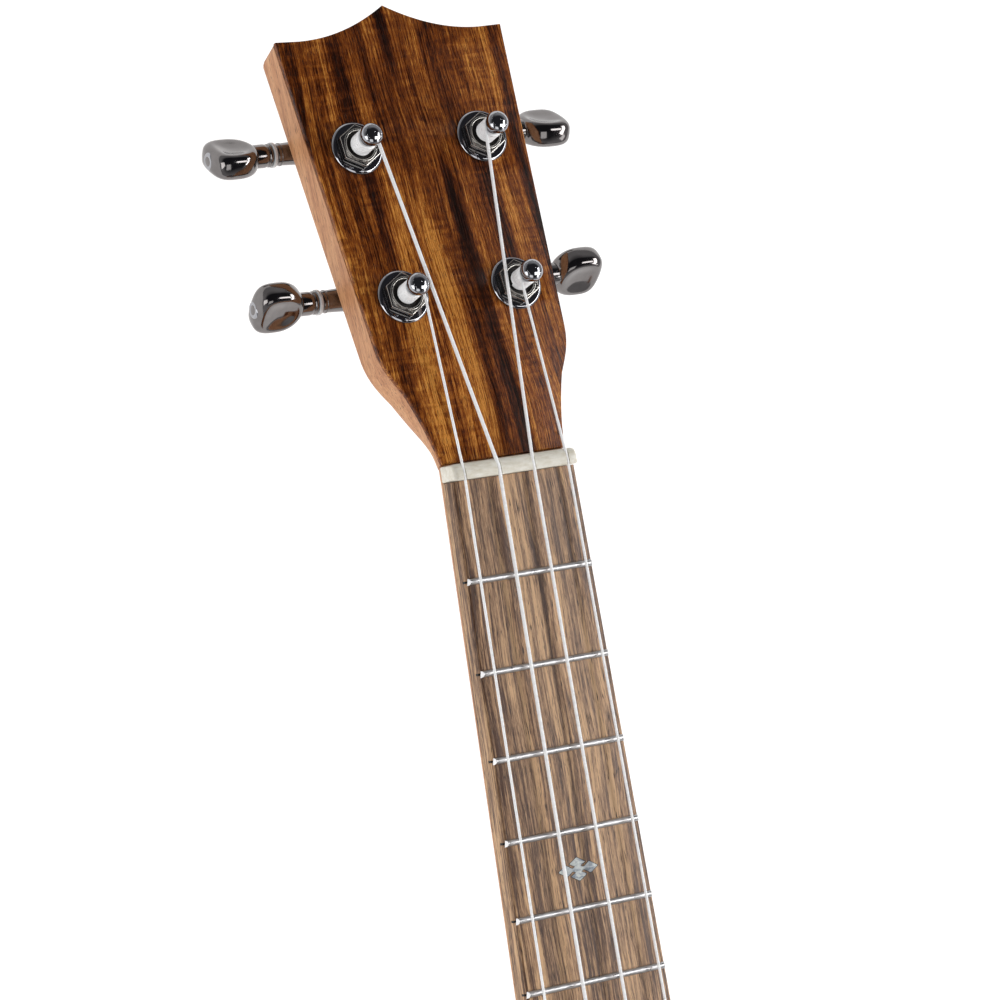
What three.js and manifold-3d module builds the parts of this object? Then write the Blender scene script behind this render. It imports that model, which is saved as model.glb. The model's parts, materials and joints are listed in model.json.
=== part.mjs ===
import * as THREE from 'three';
import { mergeVertices } from 'three/addons/utils/BufferGeometryUtils.js';
import Module from 'manifold-3d';

// Tenor ukulele lying on its back: +X is the treble side, +Y points to the headstock and
// +Z to the strings. The origin is under the middle of the object, on the plane it lies on.
// Every length is in millimetres.

// ---- Driving dimensions -------------------------------------------------------------------

// Neck and fingerboard
const SCALE_LENGTH = 432;
const FRET_COUNT = 18;
const BODY_FRET = 14;
const BOARD_LENGTH = 285;
const BOARD_THICK = 5;
const NUT_WIDTH = 35.2;
const BOARD_TAPER = 0.041;
const NUT_SETBACK = 0.7;
const NUT_DEPTH = 4.3;
const NUT_TO_HEAD = 5;
const NUT_RISE = 2.3;
const NECK_DEPTH = 13;
const HEEL_DEPTH = 70;

// Frets
const CROWN_WIDTH = 2.2;
const CROWN_HIGH = 1;
const TANG_WIDTH = 0.5;
const TANG_DEEP = 1.6;
const FRET_SLOT_WIDTH = 0.9;
const FRET_SLOT_DEEP = 2;
const FRET_END_INSET = 0.4;

// Body
const BODY_LENGTH = 305;
const BODY_DEPTH = 70;
const LOWER_HALF = 117.5;
const LOWER_FROM_TAIL = 88;
const WAIST_HALF = 68;
const WAIST_FROM_TAIL = 182;
const UPPER_HALF = 86;
const UPPER_FROM_TAIL = 240;
const PLATE_THICK = 2.4;
const RIB_THICK = 2;
const LINING_WIDE = 6;
const LINING_HIGH = 8;
const SOUNDHOLE_RADIUS = 30;
const SOUNDHOLE_FROM_NUT = 323;
const ROSETTE_INNER = 33;
const ROSETTE_OUTER = 37.6;
const ROSETTE_DEEP = 0.8;
const BRACE_WIDE = 6;
const BRACE_SUNK = 0.5;
const CURVE_STEPS = 7;

// Headstock
const HEAD_TILT = THREE.MathUtils.degToRad(12.2);
const HEAD_DROP = 3.2;
const HEAD_LENGTH = 122.7;
const HEAD_THICK = 12;
const VENEER_THICK = 1.5;
const POST_HOLE_RADIUS = 4.6;

// Strings, from the bass side to the treble side
const STRING_DIAMETERS = [0.7, 0.95, 0.85, 0.7];
const NUT_SPACING = 9.85;
const SADDLE_SPACING = 14.1;
const STRING_RISE_NUT = 1.5;
const STRING_RISE_SADDLE = 5.3;
const STRING_SIDES = 6;
const WIND_START = 4.6;
const WIND_TURNS = 3;
const WIND_STEPS = 10;

// Bridge
const COMPENSATION = 1.5;
const BRIDGE_HALF = 50;
const BRIDGE_WING_HIGH = 3.4;
const BRIDGE_BLOCK_HALF = 33;
const BRIDGE_HIGH = 7;
const SADDLE_THICK = 2.4;
const SADDLE_SLOT_DEEP = 4;
const STRING_HOLE_RADIUS = 0.95;

// Tuning machines
const GEAR_TEETH = 14;
const WORM_PITCH = 1.8;
const WORM_OFFSET = 6;
const GEAR_LEVEL = -15.3;
const TOOTH_ROOT = 0.75;
const TOOTH_TIP = 0.5;
const GEAR_THICK = 2.4;
const WORM_HALF = 4.4;
const SHAFT_RADIUS = 1.6;
const SHAFT_END = 25;
const HOUSING_ROUND = 6.5;
const BARREL_END = 15.4;
const BUTTON_OUT = 19.6;
const POST_RADIUS = 2.9;
const POST_WAIST = 1.5;
const CAP_RADIUS = 2.7;
const PIVOT_RADIUS = 1.5;
const WASHER_RADIUS = 7;
const WASHER_THICK = 0.8;
const HEXAGON_FLATS = 10;
const HEXAGON_THICK = 1.3;
const BUSHING_BORE = 3.1;
const CLEARANCE = 0.15;
const GAP = 0.3;

// ---- Values worked out from them ----------------------------------------------------------

const fretDistance = (n) => SCALE_LENGTH * (1 - 2 ** (-n / 12));
const TAIL_FROM_NUT = fretDistance(BODY_FRET) + BODY_LENGTH;
const HEAD_FORWARD = NUT_TO_HEAD + HEAD_LENGTH * Math.cos(HEAD_TILT);
const NUT_Y = (TAIL_FROM_NUT - HEAD_FORWARD) / 2;
const TAIL_Y = NUT_Y - TAIL_FROM_NUT;
const SHOULDER_Y = TAIL_Y + BODY_LENGTH;
const BOARD_Z = BODY_DEPTH + BOARD_THICK;
const TOP_UNDERSIDE = BODY_DEPTH - PLATE_THICK;
const SADDLE_Y = NUT_Y - SCALE_LENGTH - COMPENSATION;
const SOUNDHOLE_Y = NUT_Y - SOUNDHOLE_FROM_NUT;
const GEAR_RADIUS = (GEAR_TEETH * WORM_PITCH) / (2 * Math.PI);
const WORM_RADIUS = WORM_OFFSET - GEAR_RADIUS;
const HEAD_ORIGIN = new THREE.Vector3(0, NUT_Y + NUT_TO_HEAD, BOARD_Z - HEAD_DROP);

// Tuners in the headstock's own plane: u across, v up from the nut. The string number is the
// one that winds on the post; rest is the angle at which the button was left.
const TUNERS = [
  { name: 'bass_top', side: -1, u: -18, v: 84.7, string: 1, rest: -0.8 },
  { name: 'bass_low', side: -1, u: -16.2, v: 44.6, string: 0, rest: 1.1 },
  { name: 'treble_top', side: 1, u: 18, v: 84.7, string: 2, rest: -0.85 },
  { name: 'treble_low', side: 1, u: 16.2, v: 44.6, string: 3, rest: 1.14 },
];

const boardHalf = (fromNut) => (NUT_WIDTH + BOARD_TAPER * fromNut) / 2;
const bridgeFront = SADDLE_Y + 5;
const bridgeRear = SADDLE_Y - 16;
const tieFront = SADDLE_Y - 8;
const stringHoleZ = BODY_DEPTH + 4;

// ---- Materials ----------------------------------------------------------------------------

function material(color, roughness, metalness) {
  return new THREE.MeshStandardMaterial({ color, roughness, metalness });
}

const koa = () => material(0x6b3f1c, 0.45, 0);
const mahogany = () => material(0xb98763, 0.55, 0);
const walnut = () => material(0x6f5540, 0.6, 0);
const spruceWood = () => material(0xc9a877, 0.6, 0);
const bone = () => material(0xe6e0d2, 0.4, 0);
const nickel = () => material(0xc8c8c6, 0.25, 1);
const chrome = () => material(0xd8d9db, 0.08, 1);
const nylon = () => material(0xf0f0ee, 0.35, 0);

// ---- Solids -------------------------------------------------------------------------------

const wasm = await Module();
wasm.setup();

// A closed geometry with shared corners, as a solid that can be cut and joined
function solid(geometry) {
  const bare = geometry.clone();
  bare.deleteAttribute('normal');
  bare.deleteAttribute('uv');
  const merged = mergeVertices(bare);
  const corners = merged.index.array;
  const kept = [];
  for (let i = 0; i < corners.length; i += 3) {
    const [a, b, c] = corners.slice(i, i + 3);
    if (a !== b && b !== c && c !== a) {
      kept.push(a, b, c);
    }
  }
  const vertProperties = new Float32Array(merged.attributes.position.array);
  const triVerts = new Uint32Array(kept);
  return new wasm.Manifold(new wasm.Mesh({ numProp: 3, vertProperties, triVerts }));
}

function geometryOf(manifold) {
  const mesh = manifold.getMesh();
  const geometry = new THREE.BufferGeometry();
  geometry.setAttribute('position', new THREE.BufferAttribute(mesh.vertProperties, 3));
  geometry.setIndex(new THREE.BufferAttribute(mesh.triVerts, 1));
  return geometry;
}

function join(first, ...others) {
  return others.reduce((whole, part) => whole.add(solid(part)), solid(first));
}

function cut(whole, ...tools) {
  return tools.reduce((rest, tool) => rest.subtract(solid(tool)), whole);
}

const box = (w, d, h, x, y, z) => new THREE.BoxGeometry(w, d, h).translate(x, y, z);

// A plate: an outline of points, with optional holes, from level z0 to level z1
function plate(points, z0, z1, holes = [], segments = 12) {
  const shape = new THREE.Shape(points);
  shape.holes.push(...holes);
  const options = { depth: z1 - z0, bevelEnabled: false, curveSegments: segments };
  return new THREE.ExtrudeGeometry(shape, options).translate(0, 0, z0);
}

const circle = (x, y, r) => new THREE.Path().absarc(x, y, r, 0, 2 * Math.PI);

// A round plate of few sides
function disc(x, y, r, sides, z0, z1) {
  return plate(circle(x, y, r).getPoints(sides).slice(0, -1), z0, z1);
}

// A bar whose section is drawn in Y and Z, from x0 to x1
function barAlongX(section, x0, x1) {
  const basis = new THREE.Matrix4().makeBasis(
    new THREE.Vector3(0, 1, 0),
    new THREE.Vector3(0, 0, 1),
    new THREE.Vector3(1, 0, 0),
  );
  return plate(section, x0, x1).applyMatrix4(basis);
}

// A turned piece about the Z axis, its profile given as [radius, level] from bottom to top
function turned(profile, segments) {
  const points = profile.map(([r, z]) => new THREE.Vector2(r, z));
  return new THREE.LatheGeometry(points, segments).rotateX(Math.PI / 2);
}

// A turned piece laid along +X
const turnedAlongX = (profile, segments) => turned(profile, segments).rotateY(Math.PI / 2);

// A skin over rings of equal count, closed at both ends
function loft(rings) {
  const count = rings[0].length;
  const points = rings.flat();
  const faces = [];
  for (let i = 0; i + 1 < rings.length; i += 1) {
    for (let j = 0; j < count; j += 1) {
      const a = i * count + j;
      const b = i * count + ((j + 1) % count);
      faces.push(a, b, a + count, b, b + count, a + count);
    }
  }
  const last = (rings.length - 1) * count;
  for (let j = 1; j + 1 < count; j += 1) {
    faces.push(0, j + 1, j, last, last + j, last + j + 1);
  }
  return new THREE.BufferGeometry().setFromPoints(points).setIndex(faces);
}

// A path that puts one ring of an extruded section on each of its stations
class StationPath extends THREE.Curve {
  constructor(stations) {
    super();
    this.stations = stations;
  }

  getPointAt(t) {
    return this.stations[Math.round(t * (this.stations.length - 1))].clone();
  }

  getTangentAt(t) {
    const i = Math.round(t * (this.stations.length - 1));
    const before = this.stations[Math.max(i - 1, 0)];
    const after = this.stations[Math.min(i + 1, this.stations.length - 1)];
    const point = this.stations[i];
    const into = point.clone().sub(before).normalize();
    const out = after.clone().sub(point).normalize();
    return into.add(out).normalize();
  }
}

function tubeOn(stations, radius, sides) {
  const ring = [];
  for (let i = 0; i < sides; i += 1) {
    const a = (2 * Math.PI * i) / sides;
    ring.push(new THREE.Vector2(radius * Math.cos(a), radius * Math.sin(a)));
  }
  const path = new StationPath(stations);
  return new THREE.ExtrudeGeometry(new THREE.Shape(ring), { steps: stations.length - 1, extrudePath: path });
}

const mirrored = (points) => points.map((p) => new THREE.Vector2(-p.x, p.y)).reverse();

// ---- The assembly -------------------------------------------------------------------------

const ukulele = new THREE.Group();
const headstock = new THREE.Group();
headstock.position.copy(HEAD_ORIGIN);
headstock.rotation.x = -HEAD_TILT;
ukulele.add(headstock);
headstock.updateMatrix();
const headMatrix = headstock.matrix.clone();

function place(parent, name, geometry, look) {
  const mesh = new THREE.Mesh(geometry, look);
  mesh.name = name;
  parent.add(mesh);
}

// ---- Body ---------------------------------------------------------------------------------

// The treble half of the body's outline, from the tail to the shoulder, moved inwards by inset
function halfOutline(inset = 0) {
  const path = new THREE.Path();
  const lower = TAIL_Y + LOWER_FROM_TAIL;
  const waist = TAIL_Y + WAIST_FROM_TAIL;
  const upper = TAIL_Y + UPPER_FROM_TAIL;
  const flatShoulder = 24;
  path.moveTo(0, TAIL_Y);
  path.bezierCurveTo(0.56 * LOWER_HALF, TAIL_Y, LOWER_HALF, lower - 58, LOWER_HALF, lower);
  path.bezierCurveTo(LOWER_HALF, lower + 47, WAIST_HALF, waist - 42, WAIST_HALF, waist);
  path.bezierCurveTo(WAIST_HALF, waist + 30, UPPER_HALF, upper - 28, UPPER_HALF, upper);
  path.bezierCurveTo(UPPER_HALF, upper + 42, flatShoulder + 28, SHOULDER_Y, flatShoulder, SHOULDER_Y);
  path.lineTo(0, SHOULDER_Y);
  const outer = path.getPoints(CURVE_STEPS);
  return outer.map((point, i) => {
    const before = outer[Math.max(i - 1, 0)];
    const after = outer[Math.min(i + 1, outer.length - 1)];
    const along = i === 0 ? new THREE.Vector2(1, 0) : after.clone().sub(before).normalize();
    const inward = new THREE.Vector2(-along.y, along.x);
    return point.clone().addScaledVector(inward, inset);
  });
}

function fullOutline(inset = 0) {
  const half = halfOutline(inset);
  return half.concat(mirrored(half.slice(1, -1)));
}

// Half the width inside the ribs at a place along the body
function innerHalf(y) {
  const half = halfOutline(RIB_THICK);
  const i = half.findIndex((point) => point.y > y);
  const low = half[i - 1];
  const high = half[i];
  return THREE.MathUtils.mapLinear(y, low.y, high.y, low.x, high.x);
}

// Half the length of a brace of the given width that stops short of the linings
function braceHalf(y, wide) {
  const clear = 4;
  return Math.min(innerHalf(y - wide / 2), innerHalf(y + wide / 2)) - LINING_WIDE - clear;
}

// A strip along one side of the body between two insets, kept off the centre line
function sideStrip(side, outerInset, innerInset, fromCentre, z0, z1) {
  const reach = (point) => new THREE.Vector2(side * Math.max(point.x, fromCentre), point.y);
  const isEnd = (i, all) => fromCentre < 1 && (i === 0 || i === all.length - 1);
  const keep = (point, i, all) => point.x >= fromCentre || isEnd(i, all);
  const outer = halfOutline(outerInset).filter(keep).map(reach);
  const inner = halfOutline(innerInset).filter(keep).map(reach);
  return plate(outer.concat(inner.reverse()), z0, z1);
}

function buildRibs() {
  const liningStart = 32;
  const rebate = 1;
  for (const [name, side] of [['rib_bass', -1], ['rib_treble', 1]]) {
    const wall = sideStrip(side, 0, RIB_THICK, GAP / 2, PLATE_THICK, TOP_UNDERSIDE);
    const innerInset = RIB_THICK + LINING_WIDE;
    const linings = [PLATE_THICK, TOP_UNDERSIDE - LINING_HIGH].map((z) => (
      sideStrip(side, rebate, innerInset, liningStart, z, z + LINING_HIGH)
    ));
    place(ukulele, name, geometryOf(join(wall, ...linings)), koa());
  }
}

function buildSoundboard() {
  const crossHigh = 9;
  const crossFromHole = 46;
  const fanWide = BRACE_WIDE - 1;
  const fanSpacing = 34;
  const hole = circle(0, SOUNDHOLE_Y, SOUNDHOLE_RADIUS);
  const board = plate(fullOutline(), TOP_UNDERSIDE, BODY_DEPTH, [hole]);
  const parts = [];
  for (const y of [SOUNDHOLE_Y + crossFromHole, SOUNDHOLE_Y - crossFromHole]) {
    const long = 2 * braceHalf(y, BRACE_WIDE);
    parts.push(box(long, BRACE_WIDE, crossHigh, 0, y, TOP_UNDERSIDE - crossHigh / 2 + BRACE_SUNK));
  }
  const fanEnd = SADDLE_Y - 26;
  const fanStart = TAIL_Y + 24;
  const fanZ = TOP_UNDERSIDE - BRACE_WIDE / 2 + BRACE_SUNK;
  for (const x of [-fanSpacing, 0, fanSpacing]) {
    parts.push(box(fanWide, fanEnd - fanStart, BRACE_WIDE, x, (fanStart + fanEnd) / 2, fanZ));
  }
  const level = BODY_DEPTH - ROSETTE_DEEP;
  const ring = (outer, inner, z0, z1) => {
    const outline = circle(0, SOUNDHOLE_Y, outer).getPoints(12).slice(0, -1);
    return plate(outline, z0, z1, [circle(0, SOUNDHOLE_Y, inner)]);
  };
  const groove = ring(ROSETTE_OUTER, ROSETTE_INNER, level, BODY_DEPTH + 1);
  place(ukulele, 'soundboard', geometryOf(cut(join(board, ...parts), groove)), koa());
  const inlay = ring(ROSETTE_OUTER - GAP, ROSETTE_INNER + GAP, level + CLEARANCE, BODY_DEPTH);
  place(ukulele, 'rosette', inlay, bone());
}

function buildBack() {
  const braceWide = 8;
  const braceHigh = 10;
  const bracesFromTail = [60, 150, 245];
  const parts = bracesFromTail.map((fromTail) => {
    const y = TAIL_Y + fromTail;
    const long = 2 * braceHalf(y, braceWide);
    return box(long, braceWide, braceHigh, 0, y, PLATE_THICK + braceHigh / 2 - BRACE_SUNK);
  });
  const board = plate(fullOutline(), 0, PLATE_THICK);
  place(ukulele, 'back', geometryOf(join(board, ...parts)), koa());
}

// The blocks fill the ends of the body between the two plates and follow the ribs
function buildBlocks() {
  const inside = solid(plate(fullOutline(RIB_THICK + GAP), PLATE_THICK, TOP_UNDERSIDE));
  const neckWide = 54;
  const neckDeep = 34;
  const endWide = 50;
  const endDeep = 14;
  const neckBox = box(neckWide, neckDeep, BODY_DEPTH, 0, SHOULDER_Y - neckDeep / 2, BODY_DEPTH / 2);
  const endBox = box(endWide, endDeep, BODY_DEPTH, 0, TAIL_Y + endDeep / 2, BODY_DEPTH / 2);
  place(ukulele, 'neck_block', geometryOf(inside.intersect(solid(neckBox))), spruceWood());
  place(ukulele, 'end_block', geometryOf(inside.intersect(solid(endBox))), spruceWood());
}

// ---- Bridge and saddle --------------------------------------------------------------------

function bridgeOutline() {
  const corner = 6;
  const middle = (bridgeFront + bridgeRear) / 2;
  const outline = new THREE.Shape();
  outline.moveTo(-BRIDGE_HALF + corner, bridgeRear);
  outline.lineTo(BRIDGE_HALF - corner, bridgeRear);
  outline.quadraticCurveTo(BRIDGE_HALF, bridgeRear, BRIDGE_HALF, middle);
  outline.quadraticCurveTo(BRIDGE_HALF, bridgeFront, BRIDGE_HALF - corner, bridgeFront);
  outline.lineTo(-BRIDGE_HALF + corner, bridgeFront);
  outline.quadraticCurveTo(-BRIDGE_HALF, bridgeFront, -BRIDGE_HALF, middle);
  outline.quadraticCurveTo(-BRIDGE_HALF, bridgeRear, -BRIDGE_HALF + corner, bridgeRear);
  return outline.getPoints(4).slice(0, -1);
}

function buildBridge() {
  const middle = (bridgeFront + bridgeRear) / 2;
  const deep = bridgeFront - bridgeRear;
  const top = BODY_DEPTH + BRIDGE_HIGH;
  const wings = plate(bridgeOutline(), BODY_DEPTH, BODY_DEPTH + BRIDGE_WING_HIGH);
  const block = box(2 * BRIDGE_BLOCK_HALF, deep, BRIDGE_HIGH, 0, middle, (BODY_DEPTH + top) / 2);

  const slotWide = SADDLE_THICK + 2 * CLEARANCE;
  const slotFloor = top - SADDLE_SLOT_DEEP;
  const slotHigh = SADDLE_SLOT_DEEP + 1;
  const saddleLong = 2 * BRIDGE_BLOCK_HALF - 6;
  const slot = box(saddleLong + GAP, slotWide, slotHigh, 0, SADDLE_Y, slotFloor + slotHigh / 2);

  const valleyFront = SADDLE_Y - 3.6;
  const valleyFloor = stringHoleZ - 1.4;
  const valleyHigh = top - valleyFloor + 1;
  const valleyWide = 2 * BRIDGE_BLOCK_HALF + 1;
  const valleyY = (valleyFront + tieFront) / 2;
  const valleyZ = valleyFloor + valleyHigh / 2;
  const valley = box(valleyWide, valleyFront - tieFront, valleyHigh, 0, valleyY, valleyZ);

  const holes = STRING_DIAMETERS.map((diameter, i) => {
    const bore = new THREE.CylinderGeometry(STRING_HOLE_RADIUS, STRING_HOLE_RADIUS, 14, 8);
    return bore.translate((i - 1.5) * SADDLE_SPACING, (tieFront + bridgeRear) / 2, stringHoleZ);
  });
  place(ukulele, 'bridge', geometryOf(cut(join(wings, block), slot, valley, ...holes)), walnut());

  const saddleTop = BOARD_Z + STRING_RISE_SADDLE - CLEARANCE;
  const half = SADDLE_THICK / 2;
  const foot = slotFloor + 0.1;
  const section = [
    new THREE.Vector2(SADDLE_Y - half, foot),
    new THREE.Vector2(SADDLE_Y + half, foot),
    new THREE.Vector2(SADDLE_Y + half, saddleTop - 1),
    new THREE.Vector2(SADDLE_Y + half * 0.55, saddleTop - 0.25),
    new THREE.Vector2(SADDLE_Y, saddleTop),
    new THREE.Vector2(SADDLE_Y - half * 0.55, saddleTop - 0.8),
    new THREE.Vector2(SADDLE_Y - half, saddleTop - 1.9),
  ];
  place(ukulele, 'saddle', barAlongX(section, -saddleLong / 2, saddleLong / 2), bone());

  const pad = { long: 96, wide: 26, thick: 2 };
  const padSolid = box(pad.long, pad.wide, pad.thick, 0, middle, TOP_UNDERSIDE - pad.thick / 2);
  place(ukulele, 'bridge_plate', padSolid, mahogany());
}

// ---- Fingerboard, frets and nut -----------------------------------------------------------

function buildFingerboard() {
  const end = NUT_Y - BOARD_LENGTH;
  const outline = [
    new THREE.Vector2(-boardHalf(0), NUT_Y + NUT_SETBACK),
    new THREE.Vector2(-boardHalf(BOARD_LENGTH), end),
    new THREE.Vector2(boardHalf(BOARD_LENGTH), end),
    new THREE.Vector2(boardHalf(0), NUT_Y + NUT_SETBACK),
  ];
  const slots = [];
  for (let n = 1; n <= FRET_COUNT; n += 1) {
    const y = NUT_Y - fretDistance(n);
    slots.push(box(NUT_WIDTH * 2, FRET_SLOT_WIDTH, FRET_SLOT_DEEP * 2, 0, y, BOARD_Z));
  }
  const board = cut(solid(plate(outline, BODY_DEPTH, BOARD_Z)), ...slots);
  place(ukulele, 'fingerboard', geometryOf(board), walnut());
}

function fretSection(y) {
  const crown = CROWN_WIDTH / 2;
  const tang = TANG_WIDTH / 2;
  const shoulder = [0.75 * crown, 0.7 * CROWN_HIGH];
  const right = [[tang, -TANG_DEEP], [tang, 0], [crown, 0], shoulder];
  const left = right.map(([across, up]) => [-across, up]).reverse();
  const around = [...right, [0, CROWN_HIGH], ...left];
  return around.map(([across, up]) => new THREE.Vector2(y + across, BOARD_Z + up));
}

function buildFrets() {
  for (let n = 1; n <= FRET_COUNT; n += 1) {
    const distance = fretDistance(n);
    const half = boardHalf(distance) - FRET_END_INSET;
    const bar = barAlongX(fretSection(NUT_Y - distance), -half, half);
    place(ukulele, `fret_${String(n).padStart(2, '0')}`, bar, nickel());
  }
}

// Where string i runs, fromNut measured towards the saddle
function stringPoint(i, fromNut) {
  const share = fromNut / SCALE_LENGTH;
  const spacing = THREE.MathUtils.lerp(NUT_SPACING, SADDLE_SPACING, share);
  const rise = THREE.MathUtils.lerp(STRING_RISE_NUT, STRING_RISE_SADDLE, share);
  const z = BOARD_Z + rise + STRING_DIAMETERS[i] / 2;
  return new THREE.Vector3((i - 1.5) * spacing, NUT_Y - fromNut, z);
}

function buildNut() {
  const top = BOARD_Z + NUT_RISE;
  const start = NUT_Y + NUT_SETBACK + 0.1;
  const end = NUT_Y + NUT_SETBACK + NUT_DEPTH;
  const section = [
    new THREE.Vector2(start, BODY_DEPTH),
    new THREE.Vector2(end, BODY_DEPTH),
    new THREE.Vector2(end, top - 1.3),
    new THREE.Vector2(end - 0.9, top - 0.4),
    new THREE.Vector2(end - 2.2, top),
    new THREE.Vector2(start + 0.5, top),
    new THREE.Vector2(start, top - 0.4),
  ];
  const bar = solid(barAlongX(section, -boardHalf(0), boardHalf(0)));
  const slotHigh = 4;
  const slots = STRING_DIAMETERS.map((diameter, i) => {
    const at = stringPoint(i, 0);
    const floor = at.z - diameter / 2 - CLEARANCE;
    const wide = diameter + 2 * CLEARANCE + 0.1;
    return box(wide, NUT_DEPTH * 3, slotHigh, at.x, NUT_Y, floor + slotHigh / 2);
  });
  place(ukulele, 'nut', geometryOf(cut(bar, ...slots)), bone());
}

// ---- Neck and headstock -------------------------------------------------------------------

// The treble half of the headstock's outline, from the nut to the crown
function headHalf(start) {
  const path = new THREE.Path();
  path.moveTo(boardHalf(0), start);
  path.bezierCurveTo(18.4, 7, 20.4, 14, 22.6, 19.8);
  path.bezierCurveTo(24.6, 23.6, 26.6, 26.6, 27, 32);
  path.lineTo(32.5, 115);
  path.lineTo(26, 114.8);
  path.quadraticCurveTo(13, 114.8, 0, HEAD_LENGTH);
  return path.getPoints(5);
}

function headOutline(start) {
  const half = headHalf(start);
  return half.concat(mirrored(half.slice(0, -1)));
}

function neckRing(y, half, top, depth) {
  const ring = [];
  const steps = 10;
  for (let i = 0; i <= steps; i += 1) {
    const a = (Math.PI * i) / steps;
    ring.push(new THREE.Vector3(half * Math.cos(a), y, top - depth * Math.sin(a)));
  }
  return ring;
}

function buildNeck() {
  const joint = TAIL_FROM_NUT - BODY_LENGTH - GAP;
  // Depth of the wood under the fingerboard, going up from the heel
  const depths = [
    [joint, HEEL_DEPTH],
    [joint - 8, HEEL_DEPTH],
    [joint - 12, 58],
    [joint - 18, 40],
    [joint - 27, 25],
    [joint - 40, 17.2],
    [150, 14.4],
    [0, NECK_DEPTH],
    [-NUT_TO_HEAD, NECK_DEPTH],
  ];
  const rings = depths.map(([fromNut, depth]) => {
    const half = boardHalf(Math.max(fromNut, 0));
    return neckRing(NUT_Y - fromNut, half, BODY_DEPTH, depth);
  });
  const blend = 12;
  const woodTop = BOARD_Z - HEAD_DROP - (VENEER_THICK + GAP) / Math.cos(HEAD_TILT);
  const blendTop = woodTop - blend * Math.tan(HEAD_TILT);
  const blendDepth = blendTop - (BODY_DEPTH - NECK_DEPTH);
  rings.push(neckRing(NUT_Y + NUT_TO_HEAD + blend, boardHalf(0), blendTop, blendDepth));

  const holes = TUNERS.map((tuner) => circle(tuner.u, tuner.v, POST_HOLE_RADIUS));
  const outline = headOutline(2 * GAP);
  const wood = plate(outline, -HEAD_THICK, -VENEER_THICK - GAP / 3, holes, 8).applyMatrix4(headMatrix);
  place(ukulele, 'neck', geometryOf(join(loft(rings), wood)), mahogany());
  place(headstock, 'headstock_veneer', plate(outline, -VENEER_THICK, 0, holes, 8), koa());
}

// ---- Tuning machines ----------------------------------------------------------------------

// A piece made along +X, turned round to point to its own side of the headstock
const pointingOut = (side, geometry) => (side < 0 ? geometry.rotateZ(Math.PI) : geometry);

// Each machine is built about its post: x across the headstock, y up it, z out of its face.
// side is the way that the button points.

const wormStart = -WORM_HALF - 1.2;
const shaftBoreRadius = SHAFT_RADIUS + CLEARANCE;

// A cylinder about the Z axis from one level to another
const cylinder = (r, z0, z1, segments) => turned([[0, z0], [r, z0], [r, z1], [0, z1]], segments);

function housingGeometry(side) {
  const top = -HEAD_THICK - GAP / 3;
  const bottom = GEAR_LEVEL - 3.4;
  const wormBox = { long: 13.4, wide: 7.4, shift: 0.2 };
  const gearRoom = { radius: 5.1, half: 1.7 };
  const wormRoom = { radius: 2.75, half: WORM_HALF + 0.2 };
  const barrel = { start: 5, radius: 3, step: 9, endRadius: 2.75 };
  const lug = { x: -4.4 * side, y: -7.2, radius: 2.6, thick: 1.6, hole: 0.9 };
  const along = (profile, segments) => {
    const piece = pointingOut(side, turnedAlongX(profile, segments));
    return piece.translate(0, WORM_OFFSET, GEAR_LEVEL);
  };
  const barrelProfile = [
    [0, barrel.start],
    [barrel.radius, barrel.start],
    [barrel.radius, barrel.step],
    [barrel.endRadius, BARREL_END],
    [0, BARREL_END],
  ];
  const bore = (r, x0, x1) => along([[0, x0], [r, x0], [r, x1], [0, x1]], 10);
  const boxX = wormBox.shift * side;
  const outside = join(
    box(wormBox.long, wormBox.wide, top - bottom, boxX, WORM_OFFSET, (top + bottom) / 2),
    disc(0, 0, HOUSING_ROUND, 8, bottom, top),
    disc(lug.x, lug.y, lug.radius, 5, top - lug.thick, top),
    along(barrelProfile, 12),
  );
  const inside = [
    cylinder(gearRoom.radius, GEAR_LEVEL - gearRoom.half, GEAR_LEVEL + gearRoom.half, 14),
    cylinder(BUSHING_BORE, GEAR_LEVEL, 0, 14),
    cylinder(PIVOT_RADIUS + 0.2, GEAR_LEVEL - 2.6, GEAR_LEVEL, 10),
    bore(wormRoom.radius, -wormRoom.half, wormRoom.half),
    bore(shaftBoreRadius, wormStart - 0.2, BARREL_END + 1),
    disc(lug.x, lug.y, lug.hole, 4, bottom, 0),
  ];
  return geometryOf(cut(outside, ...inside));
}

// One start of right-hand thread about the X axis
function threadGeometry() {
  const turns = 2.8;
  const stepsPerTurn = 10;
  const foot = 0.45;
  const crest = 0.16;
  const inner = WORM_RADIUS - TOOTH_ROOT - 0.2;
  const outer = WORM_RADIUS + TOOTH_TIP - 0.05;
  const count = Math.round(turns * stepsPerTurn);
  const rings = [];
  for (let i = 0; i <= count; i += 1) {
    const turn = (i / count - 0.5) * turns;
    const a = 2 * Math.PI * turn;
    const at = (r, dx) => new THREE.Vector3(turn * WORM_PITCH + dx, r * Math.cos(a), r * Math.sin(a));
    rings.push([at(inner, foot), at(outer, crest), at(outer, -crest), at(inner, -foot)]);
  }
  return loft(rings);
}

function wormGeometry(side) {
  const root = WORM_RADIUS - TOOTH_ROOT;
  const rootHalf = WORM_HALF - 0.8;
  const profile = [
    [0, wormStart],
    [SHAFT_RADIUS, wormStart],
    [SHAFT_RADIUS, -WORM_HALF],
    [root, -rootHalf],
    [root, rootHalf],
    [SHAFT_RADIUS, WORM_HALF],
    [SHAFT_RADIUS, SHAFT_END],
    [0, SHAFT_END],
  ];
  const core = pointingOut(side, turnedAlongX(profile, 12));
  return geometryOf(join(core, threadGeometry()));
}

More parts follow.
